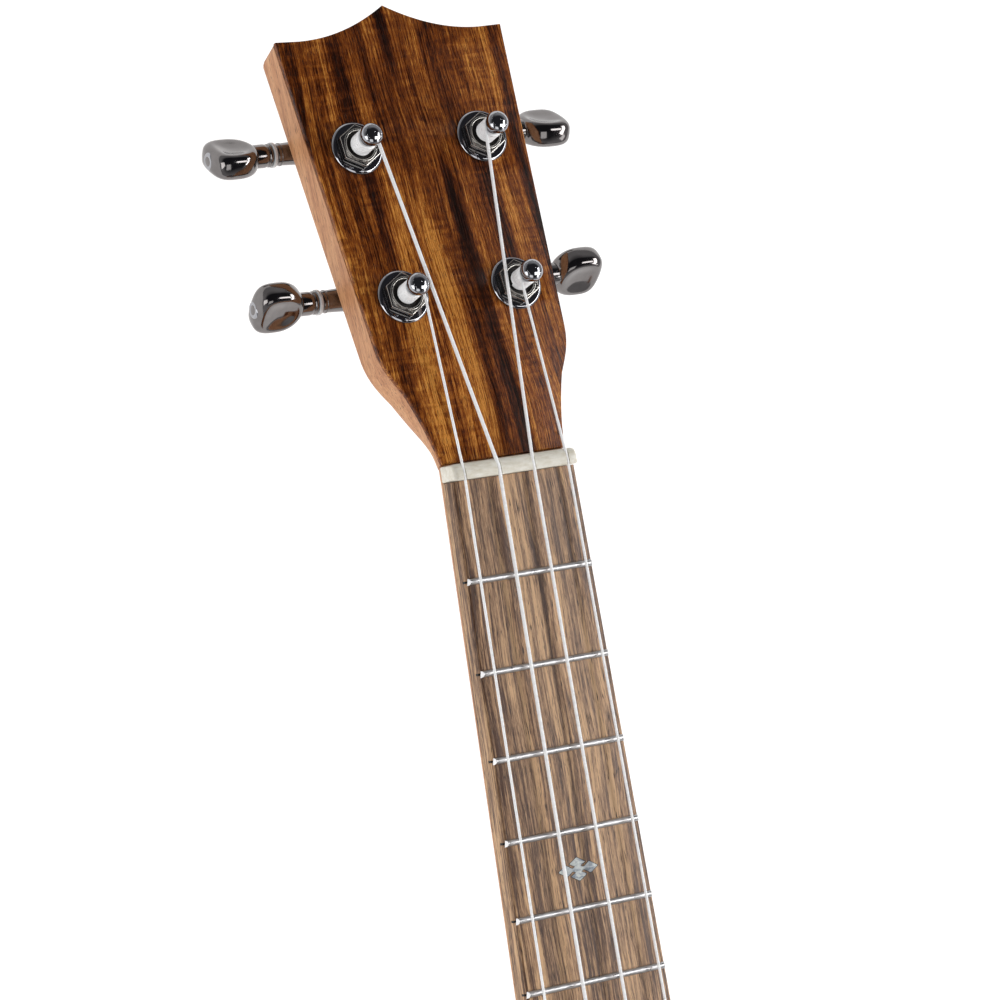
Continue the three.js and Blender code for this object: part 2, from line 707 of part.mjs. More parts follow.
function gearOutline() {
  const points = [];
  const pitchAngle = (2 * Math.PI) / GEAR_TEETH;
  const root = GEAR_RADIUS - TOOTH_ROOT;
  const tip = GEAR_RADIUS + TOOTH_TIP;
  const corners = [[root, -0.3], [tip, -0.1], [tip, 0.1], [root, 0.3]];
  for (let k = 0; k < GEAR_TEETH; k += 1) {
    const middle = Math.PI / 2 + k * pitchAngle;
    for (const [radius, share] of corners) {
      const a = middle + share * pitchAngle;
      points.push(new THREE.Vector2(radius * Math.cos(a), radius * Math.sin(a)));
    }
  }
  return points;
}

function postGeometry() {
  const gearHalf = GEAR_THICK / 2;
  const profile = [
    [0, GEAR_LEVEL - 2 * gearHalf],
    [PIVOT_RADIUS, GEAR_LEVEL - 2 * gearHalf],
    [PIVOT_RADIUS, GEAR_LEVEL - gearHalf],
    [POST_RADIUS, GEAR_LEVEL - gearHalf],
    [POST_RADIUS, 0.6],
    [POST_WAIST, 1.2],
    [POST_WAIST, 8.7],
    [CAP_RADIUS - 0.3, 8.9],
    [CAP_RADIUS, 9.3],
    [CAP_RADIUS, 10.2],
    [CAP_RADIUS - 0.6, 11.1],
    [0, 11.6],
  ];
  const gear = plate(gearOutline(), GEAR_LEVEL - gearHalf, GEAR_LEVEL + gearHalf);
  const eye = new THREE.CylinderGeometry(0.6, 0.6, 8, 6).translate(0, 0, 7.9);
  return geometryOf(cut(join(turned(profile, 14), gear), eye));
}

function washerGeometry() {
  const base = GAP / 3;
  const bore = 4.5;
  const profile = [
    [bore, base],
    [WASHER_RADIUS, base],
    [WASHER_RADIUS, base + WASHER_THICK / 2],
    [WASHER_RADIUS - 0.8, base + WASHER_THICK],
    [bore, base + WASHER_THICK],
    [bore, base],
  ];
  return turned(profile, 20);
}

function bushingGeometry() {
  const seat = GAP / 3 + WASHER_THICK + 0.1;
  const corner = HEXAGON_FLATS / 2 / Math.cos(Math.PI / 6);
  const firstCorner = 0.35;
  const hexagon = [0, 1, 2, 3, 4, 5].map((k) => {
    const a = (Math.PI / 3) * k + firstCorner;
    return new THREE.Vector2(corner * Math.cos(a), corner * Math.sin(a));
  });
  const nut = plate(hexagon, seat, seat + HEXAGON_THICK);
  const foot = -HEAD_THICK + 1;
  const sleeveRadius = 4.2;
  const sleeveProfile = [
    [0, foot],
    [sleeveRadius, foot],
    [sleeveRadius, seat + 1.2],
    [sleeveRadius - 0.4, seat + 2.2],
    [0, seat + 2.2],
  ];
  const bore = cylinder(BUSHING_BORE, -HEAD_THICK, 4, 14);
  return geometryOf(cut(join(nut, turned(sleeveProfile, 14)), bore));
}

// The button's kidney outline lies in the plane of the shaft, x along it from the collar
function buttonGeometry(side, rest) {
  const outline = new THREE.Shape();
  outline.moveTo(0.6, 0);
  outline.bezierCurveTo(0.6, 3, 3.4, 6.6, 7.4, 6.8);
  outline.bezierCurveTo(11.4, 7, 14.2, 4.6, 14.2, 0);
  outline.bezierCurveTo(14.2, -4.6, 11.4, -7, 7.4, -6.8);
  outline.bezierCurveTo(3.4, -6.6, 0.6, -3, 0.6, 0);
  const thick = 3.2;
  const round = { bevelThickness: 1.6, bevelSize: 1.2, bevelOffset: -1.2, bevelSegments: 1 };
  const options = { depth: thick, curveSegments: 4, ...round };
  const wing = new THREE.ExtrudeGeometry(outline, options).translate(0, 0, -thick / 2);
  const collar = turnedAlongX([[0, -3.6], [2.6, -3.6], [2.75, -1.2], [2.3, 2.4], [0, 2.4]], 12);
  const boreProfile = [[0, -5], [shaftBoreRadius, -5], [shaftBoreRadius, 7], [0, 7]];
  const bore = turnedAlongX(boreProfile, 10);
  const whole = pointingOut(side, geometryOf(cut(join(wing, collar), bore)));
  return whole.rotateX(rest).translate(side * BUTTON_OUT, 0, 0);
}

function buildTuners() {
  for (const tuner of TUNERS) {
    const machine = new THREE.Group();
    machine.position.set(tuner.u, tuner.v, 0);
    headstock.add(machine);
    const drive = new THREE.Group();
    drive.position.set(0, WORM_OFFSET, GEAR_LEVEL);
    machine.add(drive);
    place(machine, `tuner_housing_${tuner.name}`, housingGeometry(tuner.side), chrome());
    place(machine, `tuner_washer_${tuner.name}`, washerGeometry(), chrome());
    place(machine, `tuner_bushing_${tuner.name}`, bushingGeometry(), chrome());
    place(machine, `tuner_post_${tuner.name}`, postGeometry(), chrome());
    place(drive, `worm_shaft_${tuner.name}`, wormGeometry(tuner.side), nickel());
    place(drive, `tuner_button_${tuner.name}`, buttonGeometry(tuner.side, tuner.rest), chrome());
  }
}

// ---- Strings ------------------------------------------------------------------------------

// Each string starts behind the bridge's tie block, runs over the saddle and the nut, and
// winds up its post
function buildStrings() {
  const names = ['string_g', 'string_c', 'string_e', 'string_a'];
  for (const tuner of TUNERS) {
    const i = tuner.string;
    const radius = STRING_DIAMETERS[i] / 2;
    const atSaddle = stringPoint(i, SCALE_LENGTH + COMPENSATION);
    const afterNut = stringPoint(i, -NUT_TO_HEAD - 2 * GAP);
    const stations = [
      new THREE.Vector3(atSaddle.x, bridgeRear - 3, stringHoleZ),
      new THREE.Vector3(atSaddle.x, tieFront + 0.4, stringHoleZ),
      atSaddle,
      stringPoint(i, 0),
      afterNut,
    ];
    const start = afterNut.clone().applyMatrix4(headMatrix.clone().invert());
    const reel = POST_WAIST + CLEARANCE + radius;
    const away = new THREE.Vector2(start.x - tuner.u, start.y - tuner.v);
    const turnWay = -tuner.side;
    const first = away.angle() + turnWay * Math.acos(reel / away.length());
    const pitch = 2 * radius + 0.12;
    for (let k = 0; k <= WIND_TURNS * WIND_STEPS; k += 1) {
      const turn = k / WIND_STEPS;
      const a = first + turnWay * 2 * Math.PI * turn;
      const across = tuner.u + reel * Math.cos(a);
      const up = tuner.v + reel * Math.sin(a);
      stations.push(new THREE.Vector3(across, up, WIND_START + pitch * turn).applyMatrix4(headMatrix));
    }
    place(ukulele, names[i], tubeOn(stations, radius, STRING_SIDES), nylon());
  }
}

buildRibs();
buildSoundboard();
buildBack();
buildBlocks();
buildBridge();
buildFingerboard();
buildFrets();
buildNut();
buildNeck();
buildTuners();
buildStrings();

export default ukulele;
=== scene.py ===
import json
import math

import bmesh
import bpy
from mathutils import Matrix, Vector, geometry


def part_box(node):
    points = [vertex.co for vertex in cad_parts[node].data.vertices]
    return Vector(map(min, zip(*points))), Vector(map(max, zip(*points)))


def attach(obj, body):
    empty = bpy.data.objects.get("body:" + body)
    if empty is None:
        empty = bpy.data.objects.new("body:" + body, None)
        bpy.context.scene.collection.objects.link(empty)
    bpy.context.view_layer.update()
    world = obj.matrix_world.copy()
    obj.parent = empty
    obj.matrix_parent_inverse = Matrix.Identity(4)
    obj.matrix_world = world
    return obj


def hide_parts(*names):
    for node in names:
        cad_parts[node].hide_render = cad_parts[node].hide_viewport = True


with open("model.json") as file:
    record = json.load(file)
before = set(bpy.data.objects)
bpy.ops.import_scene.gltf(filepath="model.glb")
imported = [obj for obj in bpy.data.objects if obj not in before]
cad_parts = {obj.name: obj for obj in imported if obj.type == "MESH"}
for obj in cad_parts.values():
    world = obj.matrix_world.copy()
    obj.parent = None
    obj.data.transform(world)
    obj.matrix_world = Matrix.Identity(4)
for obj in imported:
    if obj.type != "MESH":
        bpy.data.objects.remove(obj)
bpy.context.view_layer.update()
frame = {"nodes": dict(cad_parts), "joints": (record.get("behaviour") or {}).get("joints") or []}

MM = 0.001

# ---- Places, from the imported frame, in millimetres ----------------------------------------

joints = {joint["name"]: joint for joint in frame["joints"]}


def low(node):
    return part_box(node)[0] / MM


def high(node):
    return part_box(node)[1] / MM


TUNERS = {
    "bass_top": dict(side=-1, u=-18, v=84.7, string="string_c", order=1, rest=-0.8),
    "bass_low": dict(side=-1, u=-16.2, v=44.6, string="string_g", order=0, rest=1.1),
    "treble_top": dict(side=1, u=18, v=84.7, string="string_e", order=2, rest=-0.85),
    "treble_low": dict(side=1, u=16.2, v=44.6, string="string_a", order=3, rest=1.14),
}
first_post = joints["post_turn_bass_top"]
W_AXIS = Vector(first_post["axis"]).normalized()
U_AXIS = Vector((1, 0, 0))
V_AXIS = W_AXIS.cross(U_AXIS)
first_tuner = TUNERS["bass_top"]
HEAD_ORIGIN = Vector(first_post["pos_m"]) - (U_AXIS * first_tuner["u"] + V_AXIS * first_tuner["v"]) * MM
HEAD = Matrix((U_AXIS, V_AXIS, W_AXIS)).transposed().to_4x4()
HEAD.translation = HEAD_ORIGIN


def head_point(u, v, w):
    return HEAD_ORIGIN / MM + U_AXIS * u + V_AXIS * v + W_AXIS * w


SCALE = 432
board_low, board_high = low("fingerboard"), high("fingerboard")
BOARD_Z = board_high.z
BODY_Z = board_low.z
NUT_Y = board_high.y - 0.7
BOARD_END = board_low.y
TAIL_Y = low("back").y
SHOULDER_Y = high("back").y
NUT_HALF = 17.6
TAPER = 0.041
SADDLE_Y = (low("saddle").y + high("saddle").y) / 2
HOLE_Y = (low("rosette").y + high("rosette").y) / 2
STRINGS = [("string_g", 0.7), ("string_c", 0.95), ("string_e", 0.85), ("string_a", 0.7)]


def board_half(from_nut):
    return NUT_HALF + TAPER * from_nut / 2


def fret_distance(n):
    return SCALE * (1 - 2 ** (-n / 12))


# ---- Mesh code: every function gives (points, faces) in millimetres -----------------------


def merge(*parts):
    points, faces = [], []
    for some_points, some_faces in parts:
        start = len(points)
        points += some_points
        faces += [tuple(i + start for i in face) for face in some_faces]
    return points, faces


def moved(part, matrix):
    return [matrix @ Vector(p) for p in part[0]], part[1]


def skin(rings, capped=True, looped=False):
    """Faces between rings of equal count, closed at both ends or joined end to end"""
    count = len(rings[0])
    points = [p for ring in rings for p in ring]
    faces = []
    last = len(rings) if looped else len(rings) - 1
    for i in range(last):
        a, b = i * count, (i + 1) % len(rings) * count
        for j in range(count):
            k = (j + 1) % count
            faces.append((a + j, a + k, b + k, b + j))
    if capped and not looped:
        for start in (0, (len(rings) - 1) * count):
            ring = [Vector(p) for p in points[start:start + count]]
            faces += [tuple(start + i for i in tri) for tri in geometry.tessellate_polygon([ring])]
    return points, faces


def fillet(points, radius, steps=4, closed=False):
    """A 2D line with its corners rounded"""
    out = []
    count = len(points)
    for i, p in enumerate(points):
        if not closed and i in (0, count - 1):
            out.append(tuple(p))
            continue
        p = Vector(p)
        before, after = Vector(points[i - 1]), Vector(points[(i + 1) % count])
        reach = min(radius, (before - p).length * 0.45, (after - p).length * 0.45)
        a = p + (before - p).normalized() * reach
        b = p + (after - p).normalized() * reach
        for k in range(steps + 1):
            t = k / steps
            q = a * (1 - t) ** 2 + p * 2 * t * (1 - t) + b * t * t
            out.append((q.x, q.y))
    return out


def lathe(profile, segments=72, closed=False, along="z"):
    """A turned piece from (radius, level) points; a closed profile makes a ring"""
    rings = []
    for radius, level in profile:
        ring = []
        for k in range(segments):
            a = 2 * math.pi * k / segments
            across, up = radius * math.cos(a), radius * math.sin(a)
            ring.append((across, up, level) if along == "z" else (level, across, up))
        rings.append(ring)
    return skin(rings, capped=False, looped=closed)


def offset(loop, distance):
    """A closed 2D outline moved to its left by distance"""
    out = []
    count = len(loop)
    for i in range(count):
        before, here, after = (Vector(loop[(i + d) % count]) for d in (-1, 0, 1))
        into, away = (here - before).normalized(), (after - here).normalized()
        n1, n2 = Vector((-into.y, into.x)), Vector((-away.y, away.x))
        bisector = (n1 + n2).normalized()
        stretch = max(bisector.dot(n1), 0.5)
        out.append(tuple(here + bisector * distance / stretch))
    return out


def slab(outline, z0, z1, holes=(), top_round=0.4, bottom_round=0.2, hole_round=0.2, steps=3):
    """A plate between two levels with rounded edges. The outline runs anticlockwise, the holes clockwise"""
    def levels(round_bottom, round_top):
        rows = []
        for k in range(steps + 1):
            a = math.pi / 2 * k / steps
            rows.append((round_bottom * (1 - math.sin(a)), z0 + round_bottom * (1 - math.cos(a))))
        for k in range(steps + 1):
            a = math.pi / 2 * k / steps
            rows.append((round_top * (1 - math.cos(a)), z1 - round_top * (1 - math.sin(a))))
        return rows

    parts = []
    tops, bottoms = [], []
    for i, loop in enumerate([outline, *holes]):
        rows = levels(bottom_round, top_round) if i == 0 else levels(hole_round, hole_round)
        rings = [[(x, y, z) for x, y in offset(loop, inset)] for inset, z in rows]
        parts.append(skin(rings, capped=False))
        bottoms.append(rings[0])
        tops.append(rings[-1])
    for loops in (bottoms, tops):
        flat = [Vector(p) for loop in loops for p in loop]
        triangles = geometry.tessellate_polygon([[Vector(p) for p in loop] for loop in loops])
        parts.append(([tuple(p) for p in flat], [tuple(t) for t in triangles]))
    return merge(*parts)


def circle(x, y, radius, segments=64, way=1):
    turns = [2 * math.pi * way * k / segments for k in range(segments)]
    return [(x + radius * math.cos(a), y + radius * math.sin(a)) for a in turns]


def tube(path, radius, sides=16):
    """A round rod along a path, its ends closed"""
    path = [Vector(p) for p in path]
    rings = []
    normal = None
    for i, p in enumerate(path):
        along = (path[min(i + 1, len(path) - 1)] - path[max(i - 1, 0)]).normalized()
        if normal is None:
            normal = along.cross(Vector((0.31, 0.17, 0.94))).normalized()
        normal = (normal - along * normal.dot(along)).normalized()
        other = along.cross(normal)
        turns = [2 * math.pi * k / sides for k in range(sides)]
        rings.append([p + (normal * math.cos(a) + other * math.sin(a)) * radius for a in turns])
    return skin(rings)


def across(section, stations):
    """A bar along X: its (y, z) section goes through each station's own function"""
    return skin([[station(y, z) for y, z in section] for station in stations])


def bezier(points, steps=16):
    out = []
    for k in range(steps):
        t = k / steps
        layer = [Vector(p) for p in points]
        while len(layer) > 1:
            layer = [a.lerp(b, t) for a, b in zip(layer, layer[1:])]
        out.append((layer[0].x, layer[0].y))
    return out


def mirrored(half):
    """A whole anticlockwise outline from its right half, which runs from bottom to top"""
    return half + [(-x, y) for x, y in reversed(half) if abs(x) > 1e-6]


# ---- Materials ----------------------------------------------------------------------------


def srgb(r, g, b):
    def linear(c):
        c /= 255
        return c / 12.92 if c <= 0.04045 else ((c + 0.055) / 1.055) ** 2.4
    return (linear(r), linear(g), linear(b), 1)


class Look:
    """A material's node tree, built up one node at a time"""

    def __init__(self, name, slot, **values):
        self.slot = slot
        self.material = bpy.data.materials.new(name)
        self.material.use_nodes = True
        self.tree = self.material.node_tree
        self.shader = self.tree.nodes["Principled BSDF"]
        for key, value in values.items():
            self.shader.inputs[key.replace("_", " ")].default_value = value
        coords = self.tree.nodes.new("ShaderNodeTexCoord")
        to_mm = self.tree.nodes.new("ShaderNodeVectorMath")
        to_mm.operation = "SCALE"
        to_mm.inputs["Scale"].default_value = 1 / MM
        self.link(coords.outputs["Object"], to_mm.inputs[0])
        self.mm = to_mm.outputs[0]
        parts = self.tree.nodes.new("ShaderNodeSeparateXYZ")
        self.link(self.mm, parts.inputs[0])
        self.x, self.y, self.z = parts.outputs

    def link(self, a, b):
        if hasattr(a, "is_output"):
            self.tree.links.new(a, b)
        else:
            b.default_value = a

    def math(self, operation, a, b=0.0, clamp=False):
        node = self.tree.nodes.new("ShaderNodeMath")
        node.operation = operation
        node.use_clamp = clamp
        self.link(a, node.inputs[0])
        self.link(b, node.inputs[1])
        return node.outputs[0]

    def scaled(self, scale, vector=None):
        node = self.tree.nodes.new("ShaderNodeVectorMath")
        node.operation = "MULTIPLY"
        self.link(vector or self.mm, node.inputs[0])
        node.inputs[1].default_value = scale
        return node.outputs[0]

    def joined(self, x, y, z):
        node = self.tree.nodes.new("ShaderNodeCombineXYZ")
        for value, socket in zip((x, y, z), node.inputs):
            self.link(value, socket)
        return node.outputs[0]

    def noise(self, vector, scale=1.0, detail=2.0, rough=0.5, distortion=0.0):
        node = self.tree.nodes.new("ShaderNodeTexNoise")
        self.link(vector, node.inputs["Vector"])
        node.inputs["Scale"].default_value = scale
        node.inputs["Detail"].default_value = detail
        node.inputs["Roughness"].default_value = rough
        node.inputs["Distortion"].default_value = distortion
        return node.outputs["Fac"]

    def step(self, value, start, end, low_value=0.0, high_value=1.0):
        node = self.tree.nodes.new("ShaderNodeMapRange")
        node.interpolation_type = "SMOOTHSTEP"
        self.link(value, node.inputs["Value"])
        limits = {"From Min": start, "From Max": end, "To Min": low_value, "To Max": high_value}
        for key, number in limits.items():
            node.inputs[key].default_value = number
        return node.outputs["Result"]

    def ramp(self, value, stops):
        node = self.tree.nodes.new("ShaderNodeValToRGB")
        self.link(value, node.inputs[0])
        elements = node.color_ramp.elements
        elements[0].position, elements[0].color = stops[0]
        elements[1].position, elements[1].color = stops[-1]
        for position, colour in stops[1:-1]:
            elements.new(position).color = colour
        return node.outputs[0]

    def mix(self, factor, a, b, blend="MIX"):
        node = self.tree.nodes.new("ShaderNodeMix")
        node.data_type = "RGBA"
        node.blend_type = blend
        self.link(factor, node.inputs[0])
        self.link(a, node.inputs[6])
        self.link(b, node.inputs[7])
        return node.outputs[2]

    def colour(self, value):
        self.link(value, self.shader.inputs["Base Color"])

    def roughness(self, value):
        self.link(value, self.shader.inputs["Roughness"])

    def bump(self, height, depth):
        """Depth in millimetres for a height that runs from 0 to 1"""
        node = self.tree.nodes.new("ShaderNodeBump")
        node.inputs["Strength"].default_value = 1
        node.inputs["Distance"].default_value = depth * MM
        self.link(height, node.inputs["Height"])
        self.link(node.outputs[0], self.shader.inputs["Normal"])


STREAK_FADE = 9


def koa_look(name, streaks=(), golden=0.0, upright=False):
    """Koa with the grain along Y. Streaks are (x, half width, y from, y to, how dark).
    On an upright wall the figure runs across Z instead of X"""
    look = Look(name, "koa", IOR=1.5, Specular_IOR_Level=0.14)
    if upright:
        look.x, look.z = look.z, look.math("MULTIPLY", look.x, 0.05)
        look.mm = look.joined(look.x, look.y, look.z)
    sway = look.math("MULTIPLY_ADD", look.noise(look.scaled((0.02, 0.014, 0.02)), detail=1), 9.0)
    sway.node.inputs[2].default_value = -4.5
    x = look.math("ADD", look.x, sway)
    grain_space = look.joined(x, look.y, look.z)
    broad = look.noise(look.scaled((0.16, 0.006, 0.12), grain_space), detail=3, rough=0.6)
    fine = look.noise(look.scaled((1.9, 0.035, 0.9), grain_space), detail=4, rough=0.65)
    fibre = look.noise(look.scaled((3.6, 0.26, 3.6), grain_space), detail=4, rough=0.8)
    tone = look.step(broad, 0.32, 0.68, -0.2, 0.2)
    tone = look.math("ADD", tone, look.step(fine, 0.32, 0.68, -0.22, 0.22))
    tone = look.math("ADD", tone, look.step(fibre, 0.35, 0.65, -0.24, 0.24))
    tone = look.math("ADD", tone, 0.53 + golden)
    curl_space = look.joined(
        look.math("MULTIPLY", look.x, 0.13), look.math("MULTIPLY", look.y, 0.55), 0.0
    )
    curl = look.noise(curl_space, detail=1.5, rough=0.4, distortion=0.5)
    where = look.noise(look.scaled((0.07, 0.03, 0.05)), detail=1)
    ripple = look.math("MULTIPLY", look.step(curl, 0.4, 0.6, -0.06, 0.09), look.step(where, 0.4, 0.6))
    tone = look.math("ADD", tone, ripple)
    for centre, half, y0, y1, strength in streaks:
        gap = look.math("ABSOLUTE", look.math("SUBTRACT", x, float(centre)))
        band = look.step(gap, half * 0.25, half * 1.5, 1.0, 0.0)
        start = look.step(look.y, y0 - STREAK_FADE, y0 + STREAK_FADE)
        stop = look.step(look.y, y1 - STREAK_FADE, y1 + STREAK_FADE, 1.0, 0.0)
        streak = look.math("MULTIPLY", band, look.math("MULTIPLY", start, stop))
        tone = look.math("SUBTRACT", tone, look.math("MULTIPLY", streak, strength))
    if streaks:
        tone = look.math("ADD", tone, look.step(look.y, 15, 110, 0.05, 0.0))
    colour = look.ramp(tone, [
        (0.0, srgb(26, 9, 4)),
        (0.28, srgb(66, 27, 8)),
        (0.5, srgb(112, 56, 19)),
        (0.74, srgb(157, 89, 34)),
        (1.0, srgb(212, 144, 66)),
    ])
    pores = look.noise(look.scaled((4.2, 0.4, 4.2), grain_space), detail=3, rough=0.7)
    pore = look.step(pores, 0.58, 0.63)
    colour = look.mix(look.math("MULTIPLY", pore, 0.8), colour, srgb(24, 10, 4))
    look.colour(colour)
    look.roughness(look.step(fine, 0.2, 0.8, 0.24, 0.34))
    look.bump(look.math("SUBTRACT", look.math("MULTIPLY", fibre, 0.25), pore), 0.03)
    return look


def plain_wood(
    name, slot, colours, pore_colour, pore_share, spread=1.0, smooth=0.5, pore_size=(3.2, 0.3, 3.2)
):
    """A straight-grained wood with short open pores, the grain along Y"""
    look = Look(name, slot, IOR=1.48)
    sway = look.math("MULTIPLY", look.noise(look.scaled((0.03, 0.02, 0.03)), detail=1), 3.0)
    space = look.joined(look.math("ADD", look.x, sway), look.y, look.z)
    broad = look.noise(look.scaled((0.3, 0.012, 0.3), space), detail=3)
    fine = look.noise(look.scaled((1.7, 0.05, 1.7), space), detail=4, rough=0.65)
    fibre = look.noise(look.scaled((4.5, 0.35, 4.5), space), detail=3, rough=0.7)
    tone = look.math("ADD", look.step(broad, 0.35, 0.65, -0.18 * spread, 0.18 * spread), 0.5)
    tone = look.math("ADD", tone, look.step(fine, 0.35, 0.65, -0.25 * spread, 0.25 * spread))
    tone = look.math("ADD", tone, look.step(fibre, 0.3, 0.7, -0.16 * spread, 0.16 * spread))
    colour = look.ramp(tone, [(0.1, srgb(*colours[0])), (0.5, srgb(*colours[1])), (0.9, srgb(*colours[2]))])
    pores = look.noise(look.scaled(pore_size, space), detail=2, rough=0.55)
    pore = look.step(pores, 0.6, 0.69)
    colour = look.mix(look.math("MULTIPLY", pore, pore_share), colour, srgb(*pore_colour))
    look.colour(colour)
    look.roughness(look.step(fine, 0.2, 0.8, smooth - 0.06, smooth + 0.08))
    look.bump(look.math("SUBTRACT", look.math("MULTIPLY", fine, 0.3), pore), 0.04)
    return look


def metal(name, slot, tint, rough):
    look = Look(name, slot, Metallic=1.0)
    smudge = look.noise(look.scaled((0.5, 0.5, 0.5)), detail=3)
    look.colour(look.ramp(smudge, [(0.3, srgb(*[c - 8 for c in tint])), (0.7, srgb(*tint))]))
    look.roughness(look.step(smudge, 0.3, 0.7, rough, rough * 1.6))
    return look


def moulded(name, slot, dark, pale, rough, **values):
    """Bone, nylon and plastic: an almost even colour with faint clouds"""
    look = Look(name, slot, **values)
    cloud = look.noise(look.scaled((0.35, 0.9, 0.9)), detail=4, rough=0.6)
    look.colour(look.ramp(cloud, [(0.3, srgb(*dark)), (0.65, srgb(*pale))]))
    look.roughness(look.step(cloud, 0.3, 0.7, rough, rough + 0.1))
    look.bump(look.noise(look.scaled((4, 4, 4)), detail=3), 0.002)
    return look


# The facing's streaks, in the headstock's own millimetres; a negative strength is a light one
HEAD_STREAKS = [
    (-31, 1.8, 84, 140, 0.36),
    (-26.5, 1.0, 60, 112, 0.24),
    (-17, 2.2, 45, 112, 0.34),
    (-20, 1.6, 5, 34, 0.2),
    (-1.5, 1.7, 104, 140, 0.42),
    (-5.5, 1.7, 76, 108, 0.4),
    (6.5, 2.2, -5, 76, 0.42),
    (1.5, 1.2, 4, 48, 0.24),
    (17, 2.2, 40, 86, 0.34),
    (28.5, 1.5, 34, 140, 0.34),
    (-9.5, 1.6, 84, 140, 0.38),
    (11, 1.0, 88, 130, 0.22),
    (22, 0.8, 10, 60, 0.2),
    (-23, 0.8, 30, 80, 0.2),
    (-2.5, 3.2, 2, 66, -0.2),
    (-14, 3.4, 4, 66, -0.12),
    (-26, 2.6, 40, 74, -0.12),
    (26, 2.6, 92, 140, -0.2),
    (22, 2.6, 48, 70, -0.16),
    (18, 3.0, 4, 42, -0.1),
]
koa_head = koa_look("koa_headstock", HEAD_STREAKS)
koa_body = koa_look("koa_body", golden=0.03)
koa_sides = koa_look("koa_sides", golden=0.03, upright=True)
mahogany = plain_wood(
    "mahogany", "mahogany", [(164, 103, 64), (202, 144, 100), (221, 168, 122)],
    pore_colour=(104, 58, 32), pore_share=0.8, spread=0.75,
)
block_wood = plain_wood(
    "block_wood", "block_wood", [(188, 152, 108), (210, 176, 130), (226, 196, 152)],
    pore_colour=(150, 110, 70), pore_share=0.3,
)
walnut = plain_wood(
    "walnut", "walnut", [(78, 50, 34), (152, 116, 84), (208, 168, 126)],
    pore_colour=(40, 26, 18), pore_share=0.95, spread=1.25, smooth=0.45, pore_size=(2.8, 0.2, 2.8),
)
nickel = metal("nickel", "nickel", (205, 204, 204), 0.27)
chrome = metal("chrome", "chrome", (168, 168, 172), 0.06)
satin_chrome = metal("satin_chrome", "chrome", (124, 120, 119), 0.08)
brushed = metal("brushed", "chrome", (168, 165, 160), 0.13)
bone = moulded("ivory", "ivory", (214, 206, 186), (236, 232, 220), 0.34)
nylon = moulded("nylon", "nylon", (240, 240, 240), (250, 250, 250), 0.24)
# The nylon glows faintly white: painted light that brightens the strings and windings where the caps shade
# them
nylon.shader.inputs["Emission Color"].default_value = (1, 1, 1, 1)
nylon.shader.inputs["Emission Strength"].default_value = 0.08
plastic = moulded("plastic_washer", "nylon", (206, 206, 206), (226, 226, 226), 0.35)
# Dark filler for the fret slot ends and marker seats; in the tuner bores the same dark is painted shade
filler_and_shade_dark = moulded("slot_filler_and_bore_shade", "walnut", (26, 22, 20), (36, 31, 28), 0.6)
pearl = Look("pearl", "ivory", Roughness=0.2)
flame = pearl.noise(pearl.scaled((0.5, 0.9, 0.4)), detail=3, distortion=1.2)
pearl.colour(pearl.ramp(flame, [
    (0.3, srgb(120, 132, 146)),
    (0.5, srgb(176, 182, 186)),
    (0.62, srgb(206, 212, 206)),
    (0.75, srgb(150, 158, 172)),
]))
pearl.roughness(pearl.step(flame, 0.3, 0.7, 0.14, 0.3))


def piece(name, part, look, body="root", at=None, stands_for=(), sharp=32):
    """A mesh from points in millimetres, on its body"""
    points, faces = part
    mesh = bpy.data.meshes.new(name)
    mesh.from_pydata([Vector(p) * MM for p in points], [], faces)
    work = bmesh.new()
    work.from_mesh(mesh)
    bmesh.ops.remove_doubles(work, verts=work.verts, dist=1e-7)
    bmesh.ops.dissolve_degenerate(work, edges=work.edges, dist=1e-8)
    bmesh.ops.recalc_face_normals(work, faces=work.faces)
    for face in work.faces:
        face.smooth = True
    work.to_mesh(mesh)
    work.free()
    mesh.set_sharp_from_angle(angle=math.radians(sharp))
    mesh.materials.append(look.material)
    thing = bpy.data.objects.new(name, mesh)
    bpy.context.scene.collection.objects.link(thing)
    thing.matrix_world = at or Matrix.Identity(4)
    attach(thing, body)
    if stands_for:
        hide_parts(*stands_for)
    return thing


def boolean(thing, tools, operation, sharp):
    """Joins or cuts a piece with other pieces, which are then gone"""
    for tool in tools:
        change = thing.modifiers.new("change", "BOOLEAN")
        change.operation = operation
        change.solver = "EXACT"
        change.object = tool
    bpy.context.view_layer.update()
    shape = bpy.data.meshes.new_from_object(thing.evaluated_get(bpy.context.evaluated_depsgraph_get()))
    thing.modifiers.clear()
    thing.data = shape
    shape.set_sharp_from_angle(angle=math.radians(sharp))
    for tool in tools:
        bpy.data.objects.remove(tool)


# ---- Camera, lights and floor -------------------------------------------------------------

scene = bpy.context.scene
scene.view_settings.view_transform = "Standard"


def make_camera():
    azimuth, elevation, roll = (math.radians(a) for a in (-87.732, 61.49, 78.779))
    flat = math.cos(elevation)
    back = Vector((flat * math.sin(azimuth), -flat * math.cos(azimuth), math.sin(elevation)))
    level = Vector((0, 0, 1)).cross(back).normalized()
    right = level * math.cos(roll) + back.cross(level) * math.sin(roll)
    aim = Vector((-5.07, NUT_Y - 5.37, BOARD_Z)) * MM
    data = bpy.data.cameras.new("camera")
    data.lens = 139.61
    data.sensor_width = 36
    camera = bpy.data.objects.new("camera", data)
    matrix = Matrix((right, back.cross(right), back)).transposed().to_4x4()
    matrix.translation = aim + back * 0.9609
    camera.matrix_world = matrix
    scene.collection.objects.link(camera)
    scene.camera = camera


